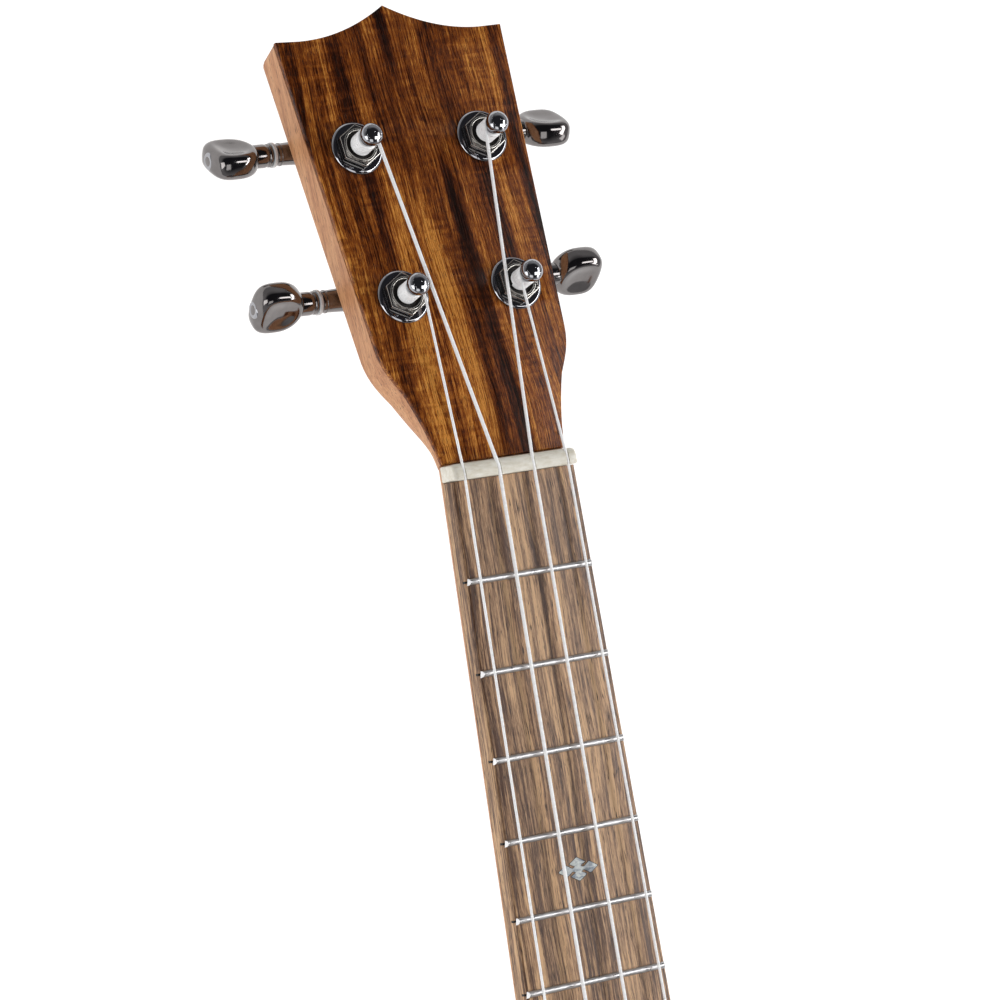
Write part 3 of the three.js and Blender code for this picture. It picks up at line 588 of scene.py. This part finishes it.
def softbox(name, direction, distance, wide, long, radiance, along=(0, 1, 0), aim=(0, 0.2, 0.075)):
    """A plain area light towards aim, its long side along the given direction"""
    data = bpy.data.lights.new(name, "AREA")
    data.shape = "RECTANGLE"
    data.size, data.size_y = wide, long
    data.energy = radiance * math.pi * wide * long
    lamp = bpy.data.objects.new(name, data)
    back = Vector(direction).normalized()
    right = Vector(along).cross(back).normalized()
    matrix = Matrix((right, back.cross(right), back)).transposed().to_4x4()
    matrix.translation = Vector(aim) + back * distance
    lamp.matrix_world = matrix
    lamp.visible_camera = False
    scene.collection.objects.link(lamp)


def make_lights():
    softbox("key", (0.76, 0, 0.65), 1.5, 0.3, 1.6, 9.5, aim=(0, 0.05, 0.075))
    softbox("overhead", (0.5, -0.08, 0.86), 1.4, 0.5, 0.4, 5.0)
    softbox("left", (-0.85, -0.2, 0.45), 1.6, 1.0, 1.0, 2.8)
    softbox("right", (0.75, -0.62, 0.35), 1.6, 0.4, 0.4, 2.0)
    softbox("fill", (-0.2, -0.6, 0.75), 1.7, 0.8, 0.8, 1.4)


def make_world():
    world = bpy.data.worlds.new("studio")
    world.use_nodes = True
    tree = world.node_tree
    coords = tree.nodes.new("ShaderNodeTexCoord")
    parts = tree.nodes.new("ShaderNodeSeparateXYZ")
    ramp = tree.nodes.new("ShaderNodeValToRGB")
    tree.links.new(coords.outputs["Generated"], parts.inputs[0])
    tree.links.new(parts.outputs[2], ramp.inputs[0])
    ramp.color_ramp.elements[0].position = 0.3
    ramp.color_ramp.elements[0].color = (0.4, 0.4, 0.41, 1)
    ramp.color_ramp.elements[1].position = 0.62
    ramp.color_ramp.elements[1].color = (0.03, 0.03, 0.035, 1)
    tree.links.new(ramp.outputs[0], tree.nodes["Background"].inputs["Color"])
    scene.world = world


def make_floor():
    look = Look("floor_white", "ivory", Roughness=0.9)
    cloud = look.noise(look.scaled((0.002, 0.002, 0.002)), detail=1)
    look.colour(look.ramp(cloud, [(0.3, (0.3, 0.3, 0.3, 1)), (0.7, (0.32, 0.32, 0.32, 1))]))
    look.shader.inputs["Emission Color"].default_value = (1, 1, 1, 1)
    look.shader.inputs["Emission Strength"].default_value = 0.93
    look.shader.inputs["Specular IOR Level"].default_value = 0
    half = 60
    corners = [(-half, -half, 0), (half, -half, 0), (half, half, 0), (-half, half, 0)]
    mesh = bpy.data.meshes.new("floor")
    mesh.from_pydata(corners, [], [(0, 1, 2, 3)])
    mesh.materials.append(look.material)
    floor = bpy.data.objects.new("floor", mesh)
    floor.location.z = -0.0002
    scene.collection.objects.link(floor)


make_camera()
make_lights()
make_world()
make_floor()

# ---- Headstock, neck, fingerboard ---------------------------------------------------------

HEAD_THICK = 11.6
VENEER = 1.5
HEAD_START = 0.6
HEAD_CORNER = (32.5, 115)
HEAD_WAIST = (27, 32)
HEAD_TIP = 122.7
POST_HOLE = 4.6
NECK_THICK = 13
NUT_REAR = 5


def head_side(share):
    """A point on the straight side, from the waist to the corner"""
    (u0, v0), (u1, v1) = HEAD_WAIST, HEAD_CORNER
    return (u0 + (u1 - u0) * share, v0 + (v1 - v0) * share)


def head_outline(start):
    half = [(board_half(0), start)]
    half += bezier([(board_half(0), start), (18.4, 7), (20.4, 14), (22.6, 19.8)], 12)[1:]
    half += bezier([(22.6, 19.8), (24.6, 23.6), (26.6, 26.6), HEAD_WAIST], 8)
    half += [head_side(k / 12) for k in range(13)]
    half += bezier([(26, 114.8), (13, 114.8), (0, HEAD_TIP)], 16)
    half += [(0, HEAD_TIP)]
    return mirrored(half)


def build_headstock():
    holes = [circle(t["u"], t["v"], POST_HOLE, 40, -1) for t in TUNERS.values()]
    outline = head_outline(HEAD_START)
    veneer = slab(outline, -VENEER, 0, holes, top_round=0.35, bottom_round=0.05)
    piece("headstock_facing", veneer, koa_head, at=HEAD, stands_for=["headstock_veneer"])
    half = outline[:len(outline) // 2 + 1]
    corner_u, corner_v = HEAD_CORNER
    tip = next(i for i, p in enumerate(half) if p[1] > corner_v - 0.1)
    close = (5, 4, 3.2, 2.5, 1.9, 1.4, 1.0, 0.6, 0.3)
    half[tip:tip] = [head_side(1 - d / (corner_v - HEAD_WAIST[1])) for d in close]
    rings = []
    steps = 32
    for b, v in half:
        boxy = min(max((v - 3) / 30, 0), 1)
        power = 2 / (2 + 20 * boxy ** 2)
        ring = []
        for k in range(steps + 1):
            a = math.pi * k / steps
            w = -VENEER - 0.02 - (HEAD_THICK - VENEER) * math.sin(a) ** power
            turn = 0.3 + 3.2 * min(max((-w - 5) / 6, 0), 1)
            past = min(v - (corner_v - turn), turn)
            reach = b if past <= 0 else min(b, corner_u - turn + math.sqrt(turn * turn - past * past))
            u = max(reach, 0.05) * math.copysign(abs(math.cos(a)) ** power, math.cos(a))
            ring.append(head_point(u, max(v, HEAD_START), w))
        rings.append(ring)
    return skin(rings)


def smooth_through(stations, x):
    """A monotone curve through (x, value) stations"""
    slopes = [(b[1] - a[1]) / (b[0] - a[0]) for a, b in zip(stations, stations[1:])]
    for i in range(len(stations) - 1):
        x0, x1 = stations[i][0], stations[i + 1][0]
        if x <= x1 or i == len(stations) - 2:
            tangents = []
            for j in (i, i + 1):
                pair = slopes[max(j - 1, 0):j + 1]
                flat = min(pair) * max(pair) <= 0
                tangents.append(0 if flat else 2 / sum(1 / s for s in pair) if len(pair) == 2 else pair[0])
            h = x1 - x0
            t = (x - x0) / h
            return (
                stations[i][1] * (2 * t ** 3 - 3 * t * t + 1) + tangents[0] * h * (t ** 3 - 2 * t * t + t)
                + stations[i + 1][1] * (3 * t * t - 2 * t ** 3) + tangents[1] * h * (t ** 3 - t * t)
            )


def build_neck(wood):
    joint = NUT_Y - SHOULDER_Y - 0.3
    heel = 40
    depth_at = [
        (0, NECK_THICK), (150, 14.4), (joint - heel, 17.2), (joint - 27, 25), (joint - 18, 40),
        (joint - 12, 58), (joint - 8, BODY_Z), (joint, BODY_Z),
    ]
    stations = [joint - k * 1.0 for k in range(heel)]
    stations += [joint - heel - k * 6.0 for k in range(int((joint - heel) / 6))] + [0.0]
    steps = 36
    rings = []

    def ring(y, half, top, depth):
        corner = 0.25
        bow = (half * half + depth * depth) / (2 * depth)
        deep = min(max((depth - 17) / 15, 0), 1)
        shape = []
        for k in range(steps + 1):
            a = math.pi * k / steps
            x = half * math.cos(a)
            shallow = math.sqrt(max(bow * bow - x * x, 0)) - (bow - depth) if bow > half else 0
            round_way = depth * math.sin(a) ** 0.92
            below = shallow * (1 - deep) + round_way * deep
            shape.append((x, top - corner - below * (depth - corner) / depth))
        shape = [(half - corner, top)] + shape + [(-half + corner, top)]
        return [(x, y, z) for x, z in shape]

    for d in stations:
        rings.append(ring(NUT_Y - d, board_half(d), BODY_Z, smooth_through(depth_at, d)))
    rings.append(ring(NUT_Y + NUT_REAR, board_half(0), BODY_Z, NECK_THICK))
    for reach in (8, 12):
        top = head_point(0, reach - NUT_REAR, -VENEER - 0.4).z
        rings.append(ring(NUT_Y + reach, board_half(0), top, top - BODY_Z + NECK_THICK))
    neck = piece("neck_wood", skin(rings), mahogany, stands_for=["neck"], sharp=35)
    head = piece("head_wood", wood, mahogany)
    boolean(neck, [head], "UNION", 35)
    drills = []
    for name, tuner in TUNERS.items():
        drill = lathe([(0, -HEAD_THICK - 2), (POST_HOLE, -HEAD_THICK - 2), (POST_HOLE, 2), (0, 2)], 40)
        at = HEAD @ Matrix.Translation(Vector((tuner["u"], tuner["v"], 0)) * MM)
        drills.append(piece(f"drill_{name}", drill, mahogany, at=at))
    boolean(neck, drills, "DIFFERENCE", 35)


def build_fingerboard():
    slot_half, slot_deep = 0.3, 2.0
    start = NUT_Y + 0.7
    section = [(BOARD_END, BODY_Z), (start, BODY_Z), (start, BOARD_Z)]
    for n in range(1, 19):
        y = NUT_Y - fret_distance(n)
        section += [
            (y + slot_half, BOARD_Z), (y + slot_half, BOARD_Z - slot_deep),
            (y - slot_half, BOARD_Z - slot_deep), (y - slot_half, BOARD_Z),
        ]
    section.append((BOARD_END, BOARD_Z))

    def station(side, inset, drop):
        def place(y, z):
            x = side * (board_half(NUT_Y - y) - inset)
            return (x, y, z - drop if z > BOARD_Z - 0.5 else z)
        return place

    edge = [(0, 0.75), (0.1, 0.45), (0.3, 0.2), (0.6, 0.05), (1.0, 0)]
    stations = [station(-1, inset, drop) for inset, drop in edge]
    stations += [station(1, inset, drop) for inset, drop in reversed(edge)]
    piece("fingerboard_wood", across(section, stations), walnut, stands_for=["fingerboard"], sharp=25)
    for n in range(1, 19):
        distance = fret_distance(n)
        y = NUT_Y - distance
        half = board_half(distance) - 0.02
        rear, front = y - slot_half + 0.01, y + slot_half - 0.01
        floor, top = BOARD_Z - 1.95, BOARD_Z - 0.72
        filler = [(rear, floor), (front, floor), (front, top), (rear, top)]
        build_fret(n, y, half + 0.02)
        ends = []
        for side in (-1, 1):
            stations = [lambda y, z, x=x: (x, y, z) for x in (side * (half - 0.9), side * half)]
            ends.append(across(filler, stations))
        piece(f"slot_ends_{n:02d}", merge(*ends), filler_and_shade_dark)


def build_fret(n, y, board):
    half_wide, tall, tang = 0.85, 0.95, 0.25
    arc = [math.pi * k / 14 for k in range(15)]
    crown = [(y + half_wide * math.cos(a), BOARD_Z + tall * math.sin(a) ** 0.8) for a in arc]
    foot = BOARD_Z - 1.5
    section = [(y - tang, foot), (y + tang, foot), (y + tang, BOARD_Z), *crown, (y - tang, BOARD_Z)]
    end = board - 0.12
    bevel = 0.75

    def station(side, inset):
        def place(py, pz):
            above = pz - BOARD_Z
            low_x = end - inset
            if above <= 0:
                return (side * min(low_x, board - 0.9), py, pz)
            return (side * (low_x - (bevel * above if inset == 0 else 0)), py, pz)
        return place

    stations = [station(-1, 0), station(-1, bevel + 0.25), station(1, bevel + 0.25), station(1, 0)]
    piece(f"fret_wire_{n:02d}", across(section, stations), nickel, stands_for=[f"fret_{n:02d}"], sharp=30)


FIFTH_MARKER = 98.75


def build_markers():
    """Small four-lobed pearl markers, a little proud of the wood"""
    for n in (5, 7, 10, 12, 15):
        y = NUT_Y - (fret_distance(n) + fret_distance(n - 1)) / 2
        if n == 5:
            y = NUT_Y - FIFTH_MARKER
        lobes = [(0.7, 0.75), (1.6, 0.3), (3.4, 1.45), (5.65, 0), (3.4, -1.45), (1.6, -0.3), (0.7, -0.75)]
        lobes += [(2.3, -1.55), (0, -2.95), (-2.3, -1.55)]
        lobes = [(x, y + dy) for x, dy in lobes + [(-x, -dy) for x, dy in lobes]]
        lobes = fillet(lobes[::-1], 0.3, 3, closed=True)
        inlay = slab(lobes, BOARD_Z - 0.4, BOARD_Z + 0.03, top_round=0.03, bottom_round=0.02)
        piece(f"marker_{n:02d}", inlay, pearl)
        rim = offset(lobes, -0.14)
        seat = slab(rim, BOARD_Z - 0.4, BOARD_Z + 0.012, top_round=0.01, bottom_round=0.01)
        piece(f"marker_seat_{n:02d}", seat, filler_and_shade_dark)


NUT_SPACING = 9.85
SADDLE_SPACING = 14.1
BEHIND_NUT = 3.2


def string_point(i, from_nut):
    """The middle of a string, some way from the nut towards the bridge"""
    share = from_nut / SCALE
    spacing = NUT_SPACING + (SADDLE_SPACING - NUT_SPACING) * share
    rise = 1.5 + (5.3 - 1.5) * share
    return Vector(((i - 1.5) * spacing, NUT_Y - from_nut, BOARD_Z + rise + STRINGS[i][1] / 2))


def build_nut():
    start, end = NUT_Y + 0.8, NUT_Y + NUT_REAR
    top = BOARD_Z + 2.3
    section = [
        (start, BODY_Z), (end, BODY_Z), (end, top - 1.3), (end - 0.9, top - 0.4),
        (end - 2.2, top), (start, top),
    ]
    section = fillet(section, 0.35, 4, closed=True)
    middle = (start + end) / 2

    def station(x, shrink):
        def place(y, z):
            if z < BODY_Z + 1:
                return (x, middle + (y - middle) * (1 - shrink * 0.1), z)
            return (x, middle + (y - middle) * (1 - shrink * 0.3), z - shrink * max(z - BOARD_Z, 0) * 0.45)
        return place

    half = board_half(0)
    ends = [(0, 1.0), (0.12, 0.6), (0.35, 0.3), (0.8, 0.06), (1.3, 0.0)]
    xs = [(-half + inset, shrink) for inset, shrink in ends]
    inner = [(-half + 1.3 + k * (2 * half - 2.6) / 8, 0.0) for k in range(1, 8)]
    xs += inner + [(-x, s) for x, s in reversed(xs)]
    stations = [station(x, shrink) for x, shrink in xs]
    block = piece("nut_bone", across(section, stations), bone, stands_for=["nut"], sharp=40)
    grooves = []
    for i, (_, diameter) in enumerate(STRINGS):
        for lift in (0, 0.45):
            up = Vector((0, 0, lift))
            front, inside = string_point(i, 6) + up, string_point(i, -0.9) + up
            path = [front, inside, inside + Vector((0, 8, -0.5))]
            grooves.append(tube(path, diameter / 2 + 0.12, 20))
    tools = [piece(f"groove_{k}", groove, bone) for k, groove in enumerate(grooves)]
    boolean(block, tools, "DIFFERENCE", 40)


build_neck(build_headstock())
build_fingerboard()
build_markers()
build_nut()

# ---- Tuning machines ----------------------------------------------------------------------

GEAR_LEVEL = -15.3
WORM_OFFSET = 6
BUTTON_OUT = 19.6
LUG_U, LUG_V = 4.4, -7.2


def button_mesh(side, rest):
    """A kidney-shaped button: rounded edges and a shallow dish on both faces, x outwards"""
    outline = bezier([(0.6, 0), (0.6, -3.2), (2.8, -6.7), (7.4, -6.8)], 18)
    outline += bezier([(7.4, -6.8), (12.6, -7), (14.2, -6.2), (14.2, 0)], 18)
    outline += bezier([(14.2, 0), (14.2, 6.2), (12.6, 7), (7.4, 6.8)], 18)
    outline += bezier([(7.4, 6.8), (2.8, 6.7), (0.6, 3.2), (0.6, 0)], 18)
    centre = Vector((7.4, 0))
    half_thick, dish_depth, dish_reach = 3.8, 1.3, 0.78
    shares = [0, 0.1, 0.2, 0.3, 0.4, 0.5, 0.6, 0.7, 0.78, 0.85, 0.9, 0.94, 0.97, 0.99, 1.0]

    def height(share):
        dish = dish_depth * max(0, 1 - (share / dish_reach) ** 2.6) ** 1.5
        return half_thick * (1 - share ** 4.2) ** (1 / 3.0) - dish

    rings = []
    for way in (1, -1):
        order = shares if way == 1 else reversed(shares[:-1])
        for share in order:
            ring = []
            for p in outline:
                q = centre.lerp(Vector(p), max(share, 0.001))
                ring.append((q.x, q.y, way * height(share)))
            rings.append(ring)
    wing = skin(rings)
    collar_profile = [
        (0, -3.2), (2.75, -3.2), (3.0, -2.9), (3.0, -2.4), (2.7, -2.1),
        (2.95, -1.8), (3.05, -1.2), (3.0, 1.6), (2.2, 3.0), (0, 3.0),
    ]
    collar = lathe(fillet(collar_profile, 0.18, 3), 56, along="x")
    turn = Matrix.Rotation(math.pi if side < 0 else 0, 4, "Z")
    place = Matrix.Translation((side * BUTTON_OUT, 0, 0)) @ Matrix.Rotation(rest, 4, "X") @ turn
    screw_profile = [
        (0, 13.6), (1.0, 13.75), (1.05, 14.1), (1.9, 14.25), (2.3, 13.9), (2.3, 13.0), (0, 13.0),
    ]
    screw = lathe(fillet(screw_profile, 0.2), 40, along="x")
    return moved(merge(wing, collar), place), moved(screw, place)


def housing_mesh(side):
    """The die-cast case under the headstock, with its screw lug and the barrel round the worm"""
    top, bottom = -HEAD_THICK - 0.1, GEAR_LEVEL - 3.4
    left, right = -6.5 + 0.2 * side, 6.7 + 0.2 * side
    corners = [(left, 2.3), (right, 2.3), (right, 9.7), (left, 9.7)]
    case = slab(fillet(corners, 1.6, 6, closed=True), bottom, top, top_round=0.1, bottom_round=1.0)
    drum = slab(circle(0, 0, 6.5), bottom, top, top_round=0.1, bottom_round=0.9)
    lug_hole = [circle(-LUG_U * side, LUG_V, 0.9, 24, -1)]
    lug_disc = circle(-LUG_U * side, LUG_V, 2.6)
    lug = slab(lug_disc, top - 1.6, top, lug_hole, top_round=0.1, bottom_round=0.3)
    profile = fillet([(0, 5), (3, 5), (3.05, 9), (2.75, 15.1), (0, 15.4)], 0.35)
    barrel = lathe(profile, 56, along="x")
    beads = []
    for x, radius in ((8.2, 3.14), (13.6, 2.97)):
        bead = [(0, x), (radius, x), (radius, x + 0.5), (0, x + 0.5)]
        beads.append(lathe(fillet(bead, 0.15), 56, along="x"))
    turn = Matrix.Rotation(math.pi if side < 0 else 0, 4, "Z")
    out = Matrix.Translation((0, WORM_OFFSET, GEAR_LEVEL)) @ turn
    return merge(case, drum, lug, moved(merge(barrel, *beads), out))


def post_mesh():
    profile = [
        (0, GEAR_LEVEL - 2.2), (1.2, GEAR_LEVEL - 2.2), (1.2, GEAR_LEVEL - 1.2),
        (2.9, GEAR_LEVEL - 1.2), (2.9, 0.6), (1.85, 1.2), (1.85, 7.9), (2.2, 8.0),
        (2.6, 8.15), (2.6, 8.45), (2.4, 8.6), (2.4, 8.7), (2.85, 8.85), (2.95, 9.2),
        (2.95, 9.9), (2.75, 10.5), (2.1, 11.1), (1.2, 11.45), (0, 11.58),
    ]
    return lathe(fillet(profile, 0.3, 4), 64)


def washer_mesh():
    profile = [(4.5, 0.1), (7, 0.1), (7, 0.5), (6.5, 0.9), (4.5, 0.9)]
    return lathe(fillet(profile, 0.18, 4, closed=True), 96, closed=True)


def bushing_mesh():
    """The hexagonal flange with its collar, and the threaded sleeve going down into the wood"""
    corner = 5 / math.cos(math.pi / 6)
    hex_turn = 0.55
    angles = [math.pi / 3 * k + hex_turn for k in range(6)]
    hexagon = fillet([(corner * math.cos(a), corner * math.sin(a)) for a in angles], 0.3, 5, closed=True)
    bore = [circle(0, 0, 4.0, 64, -1)]
    flange = slab(hexagon, 1.0, 2.65, bore, top_round=0.3, bottom_round=0.1, hole_round=0.05)
    profile = [
        (3.15, -11), (4.1, -11), (4.1, 2.3), (4.5, 2.5), (4.5, 2.8), (4.35, 2.9), (4.0, 2.9),
        (3.8, 2.75), (3.8, 1.5), (3.15, 1.4),
    ]
    return merge(flange, lathe(fillet(profile, 0.15, 3, closed=True), 72, closed=True))


def bore_shade_mesh():
    """A dark ring inside the bushing's bore: painted shade for the deep gap round the post"""
    profile = [(1.95, 1.52), (3.79, 1.52), (3.79, 2.5), (3.7, 2.5), (3.6, 1.75), (1.95, 1.75)]
    return lathe(profile, 56, closed=True)


def winding_path(tuner):
    """The winding on the post, from where the straight run meets it downwards"""
    i = tuner["order"]
    radius = STRINGS[i][1] / 2
    reel = 1.95 + radius
    leave_w, foot_w = 7.3, 2.3
    nut = HEAD.inverted() @ (string_point(i, -BEHIND_NUT) * MM) / MM
    away = Vector((nut.x - tuner["u"], nut.y - tuner["v"]))
    way = -tuner["side"]
    first = math.atan2(away.y, away.x) + way * math.acos(reel / away.length)
    turns = (leave_w - foot_w) / (2 * radius + 0.02)
    steps = int(turns * 40)
    path = []
    for k in range(steps + 1):
        a = first + way * 2 * math.pi * turns * k / steps
        w = leave_w + (foot_w - leave_w) * k / steps
        path.append(head_point(tuner["u"] + reel * math.cos(a), tuner["v"] + reel * math.sin(a), w))
    return path, radius


def run_mesh(tuner, winding_start, radius):
    """The straight string: knot on the bridge, over the saddle and the nut, to the winding"""
    i = tuner["order"]
    x = (i - 1.5) * SADDLE_SPACING
    saddle_z = string_point(i, SCALE).z
    run = [
        Vector((x, SADDLE_Y - 15.6, BODY_Z + 4)),
        Vector((x, SADDLE_Y - 8.2, BODY_Z + 4.1)),
        Vector((x, SADDLE_Y - 1.0, saddle_z - 0.7)),
        Vector((x, SADDLE_Y + 0.2, saddle_z)),
    ]
    run += [string_point(i, SCALE * (1 - k / 40)) for k in range(1, 41)]
    run += [string_point(i, -2.0), string_point(i, -BEHIND_NUT) - Vector((0, 0, 0.12)), winding_start]
    knot_at = Vector((x, SADDLE_Y - 16.6, BODY_Z + 4))
    knot = []
    for k in range(61):
        a = 2 * math.pi * k / 60
        loop = Vector((1.3 * math.sin(2 * a), 0.6 * math.cos(3 * a), 1.5 * math.sin(a) + 0.4))
        knot.append(knot_at + loop)
    return merge(tube(run, radius, 14), tube(knot, radius, 10))


def build_tuners():
    ring_profile = fillet([(1.7, 15.45), (3.25, 15.45), (3.25, 16.3), (1.7, 16.3)], 0.2, closed=True)
    screw_profile = fillet([(0, -15.1), (0.85, -15.1), (1.9, -14.6), (1.9, -14.2), (0, -14.2)], 0.2)
    for name, tuner in TUNERS.items():
        side = tuner["side"]
        key, post = f"key_{name}", f"post_{name}"
        at = HEAD @ Matrix.Translation(Vector((tuner["u"], tuner["v"], 0)) * MM)
        drive = at @ Matrix.Translation(Vector((0, WORM_OFFSET, GEAR_LEVEL)) * MM)
        piece(f"washer_{name}", washer_mesh(), chrome, at=at, stands_for=[f"tuner_washer_{name}"])
        piece(f"bushing_{name}", bushing_mesh(), brushed, at=at, stands_for=[f"tuner_bushing_{name}"])
        # A dark ring in the bore: painted shade round the post
        piece(f"bore_shade_{name}", bore_shade_mesh(), filler_and_shade_dark, at=at)
        piece(f"post_turned_{name}", post_mesh(), chrome, post, at)
        housing = housing_mesh(side)
        piece(f"housing_{name}", housing, satin_chrome, at=at, stands_for=[f"tuner_housing_{name}"])
        wing, screw = button_mesh(side, tuner["rest"])
        piece(f"button_{name}", wing, satin_chrome, key, drive, [f"tuner_button_{name}"])
        piece(f"button_screw_{name}", screw, chrome, key, drive)
        ring = lathe(ring_profile, 48, True, "x")
        turn = Matrix.Rotation(math.pi if side < 0 else 0, 4, "Z")
        piece(f"plastic_washer_{name}", moved(ring, turn), plastic, key, drive)
        screw_head = lathe(screw_profile, 32)
        lug_at = at @ Matrix.Translation(Vector((-LUG_U * side, LUG_V, 0.55)) * MM)
        piece(f"lug_screw_{name}", screw_head, nickel, at=lug_at)
        path, radius = winding_path(tuner)
        piece(f"winding_{name}", tube(path, radius, 14), nylon, post)
        run = run_mesh(tuner, path[0], radius)
        piece(f"run_{tuner['string']}", run, nylon, stands_for=[tuner["string"]])


build_tuners()

# ---- Body, bridge, rosette ----------------------------------------------------------------

LOWER, WAIST, UPPER = 117.5, 68, 86
PLATE = 2.4
RIB = 2.0


def body_half_outline():
    lower, waist, upper = TAIL_Y + 88, TAIL_Y + 182, TAIL_Y + 240
    half = bezier([(0, TAIL_Y), (0.56 * LOWER, TAIL_Y), (LOWER, lower - 58), (LOWER, lower)], 30)
    half += bezier([(LOWER, lower), (LOWER, lower + 47), (WAIST, waist - 42), (WAIST, waist)], 26)
    half += bezier([(WAIST, waist), (WAIST, waist + 30), (UPPER, upper - 28), (UPPER, upper)], 22)
    half += bezier([(UPPER, upper), (UPPER, upper + 42), (52, SHOULDER_Y), (24, SHOULDER_Y)], 26)
    return half + [(24, SHOULDER_Y), (0, SHOULDER_Y)]


def body_outline(inset=0.0):
    return offset(mirrored(body_half_outline()), inset)


def block(x0, x1, y0, y1, z0, z1, rounding=0.8):
    outline = fillet([(x0, y0), (x1, y0), (x1, y1), (x0, y1)], rounding, 3, closed=True)
    return slab(outline, z0, z1, top_round=rounding * 0.6, bottom_round=rounding * 0.6)


def wall(side, outer_inset, inner_inset, z0, z1, rounding):
    count = len(body_half_outline())
    outer = [(side * max(x, 0.15), y) for x, y in body_outline(outer_inset)[:count]]
    inner = [(side * max(x, 0.15), y) for x, y in body_outline(inner_inset)[:count]]
    strip = outer + inner[::-1]
    if side < 0:
        strip.reverse()
    return slab(strip, z0, z1, top_round=rounding, bottom_round=rounding)


def build_body():
    under = BODY_Z - PLATE
    hole = [circle(0, HOLE_Y, 30, 96, -1)]
    top = slab(body_outline(), under, BODY_Z, hole, top_round=1.0, bottom_round=0.1, hole_round=0.6)
    braces = []
    for x, y in ((68, HOLE_Y + 46), (62, HOLE_Y - 46)):
        braces.append(block(-x, x, y - 3, y + 3, under - 8.5, under + 0.3))
    for x in (-34, 0, 34):
        braces.append(block(x - 2.5, x + 2.5, TAIL_Y + 24, SADDLE_Y - 26, under - 5.5, under + 0.3))
    piece("soundboard_plate", top, koa_body, stands_for=["soundboard"])
    piece("soundboard_braces", merge(*braces), block_wood)
    back = slab(body_outline(), 0, PLATE, top_round=0.1, bottom_round=1.0)
    ladder = []
    for along, x in ((60, 94), (150, 68), (245, 68)):
        y = TAIL_Y + along
        ladder.append(block(-x, x, y - 4, y + 4, PLATE - 0.3, PLATE + 9.5))
    piece("back_plate", back, koa_body, stands_for=["back"])
    piece("back_braces", merge(*ladder), block_wood)
    for side, node in ((-1, "rib_bass"), (1, "rib_treble")):
        piece(f"{node}_bent", wall(side, 0, RIB, PLATE, under, 0.02), koa_sides, stands_for=[node])
        strips = [wall(side, RIB, RIB + 6, z, z + 8, 0.4) for z in (PLATE, under - 8)]
        piece(f"{node}_linings", merge(*strips), block_wood)


def build_rosette():
    bands = [(33.3, 34.0, koa_head), (34.0, 36.9, pearl), (36.9, 37.6, koa_head)]
    for k, (inner, outer, look) in enumerate(bands):
        low_z, high_z = BODY_Z - 0.6, BODY_Z + 0.04
        profile = [(inner, low_z), (outer, low_z), (outer, high_z), (inner, high_z)]
        ring = lathe(fillet(profile, 0.04, 2, closed=True), 144, closed=True)
        stands = ["rosette"] if k == 1 else ()
        piece(f"rosette_band_{k}", moved(ring, Matrix.Translation((0, HOLE_Y, 0))), look, stands_for=stands)


def build_bridge():
    front, rear = SADDLE_Y + 5, SADDLE_Y - 16
    wing_outline = fillet([(-50, rear), (50, rear), (50, front), (-50, front)], 8, 10, closed=True)
    wings = slab(wing_outline, BODY_Z, BODY_Z + 3.4, top_round=1.2, bottom_round=0.05, steps=5)
    high_z = BODY_Z + 7
    saddle_half = 1.35
    section = [
        (rear + 0.3, BODY_Z + 0.3), (front - 0.3, BODY_Z + 0.3),
        (front - 0.3, high_z - 1.2), (front - 1.4, high_z),
        (SADDLE_Y + saddle_half, high_z), (SADDLE_Y + saddle_half, high_z - 4.0),
        (SADDLE_Y - saddle_half, high_z - 4.0), (SADDLE_Y - saddle_half, high_z),
        (SADDLE_Y - 3.2, high_z), (SADDLE_Y - 4.2, BODY_Z + 2.6), (SADDLE_Y - 8, BODY_Z + 2.6),
        (SADDLE_Y - 8.2, high_z), (rear + 1.2, high_z), (rear + 0.3, high_z - 1.2),
    ]
    section = fillet(section, 0.35, 3, closed=True)

    def station(x, drop):
        return lambda y, z: (x, y, z - drop if z > BODY_Z + 3.2 else z)

    ends = [(-33, 1.2), (-32.6, 0.5), (-32, 0.1), (-31.5, 0)]
    stations = [station(x, drop) for x, drop in ends] + [station(-x, drop) for x, drop in reversed(ends)]
    piece("bridge_carved", merge(wings, across(section, stations)), walnut, stands_for=["bridge"])
    top = high("saddle").z
    half = 1.2
    profile = [
        (SADDLE_Y - half, high_z - 3.8), (SADDLE_Y + half, high_z - 3.8), (SADDLE_Y + half, top - 1.0),
        (SADDLE_Y + 0.6, top - 0.2), (SADDLE_Y, top), (SADDLE_Y - 0.7, top - 0.8),
        (SADDLE_Y - half, top - 1.9),
    ]
    rows = [(-29.8, 0.6), (-29.2, 0.15), (-28.4, 0), (28.4, 0), (29.2, 0.15), (29.8, 0.6)]
    bar = across(fillet(profile, 0.3, 3, closed=True), [
        (lambda y, z, x=x, drop=drop: (x, y, z - drop if z > high_z else z)) for x, drop in rows
    ])
    piece("saddle_bone", bar, bone, stands_for=["saddle"])


build_body()
build_rosette()
build_bridge()

# ---- The CAD nodes that stay in sight -----------------------------------------------------

for name, node in frame["nodes"].items():
    look = None
    if name.startswith("worm_shaft") or name.startswith("tuner_post"):
        look = chrome
    elif name in ("neck_block", "end_block"):
        look = block_wood
    elif name == "bridge_plate":
        look = mahogany
    if look:
        node.data.materials.clear()
        node.data.materials.append(look.material)
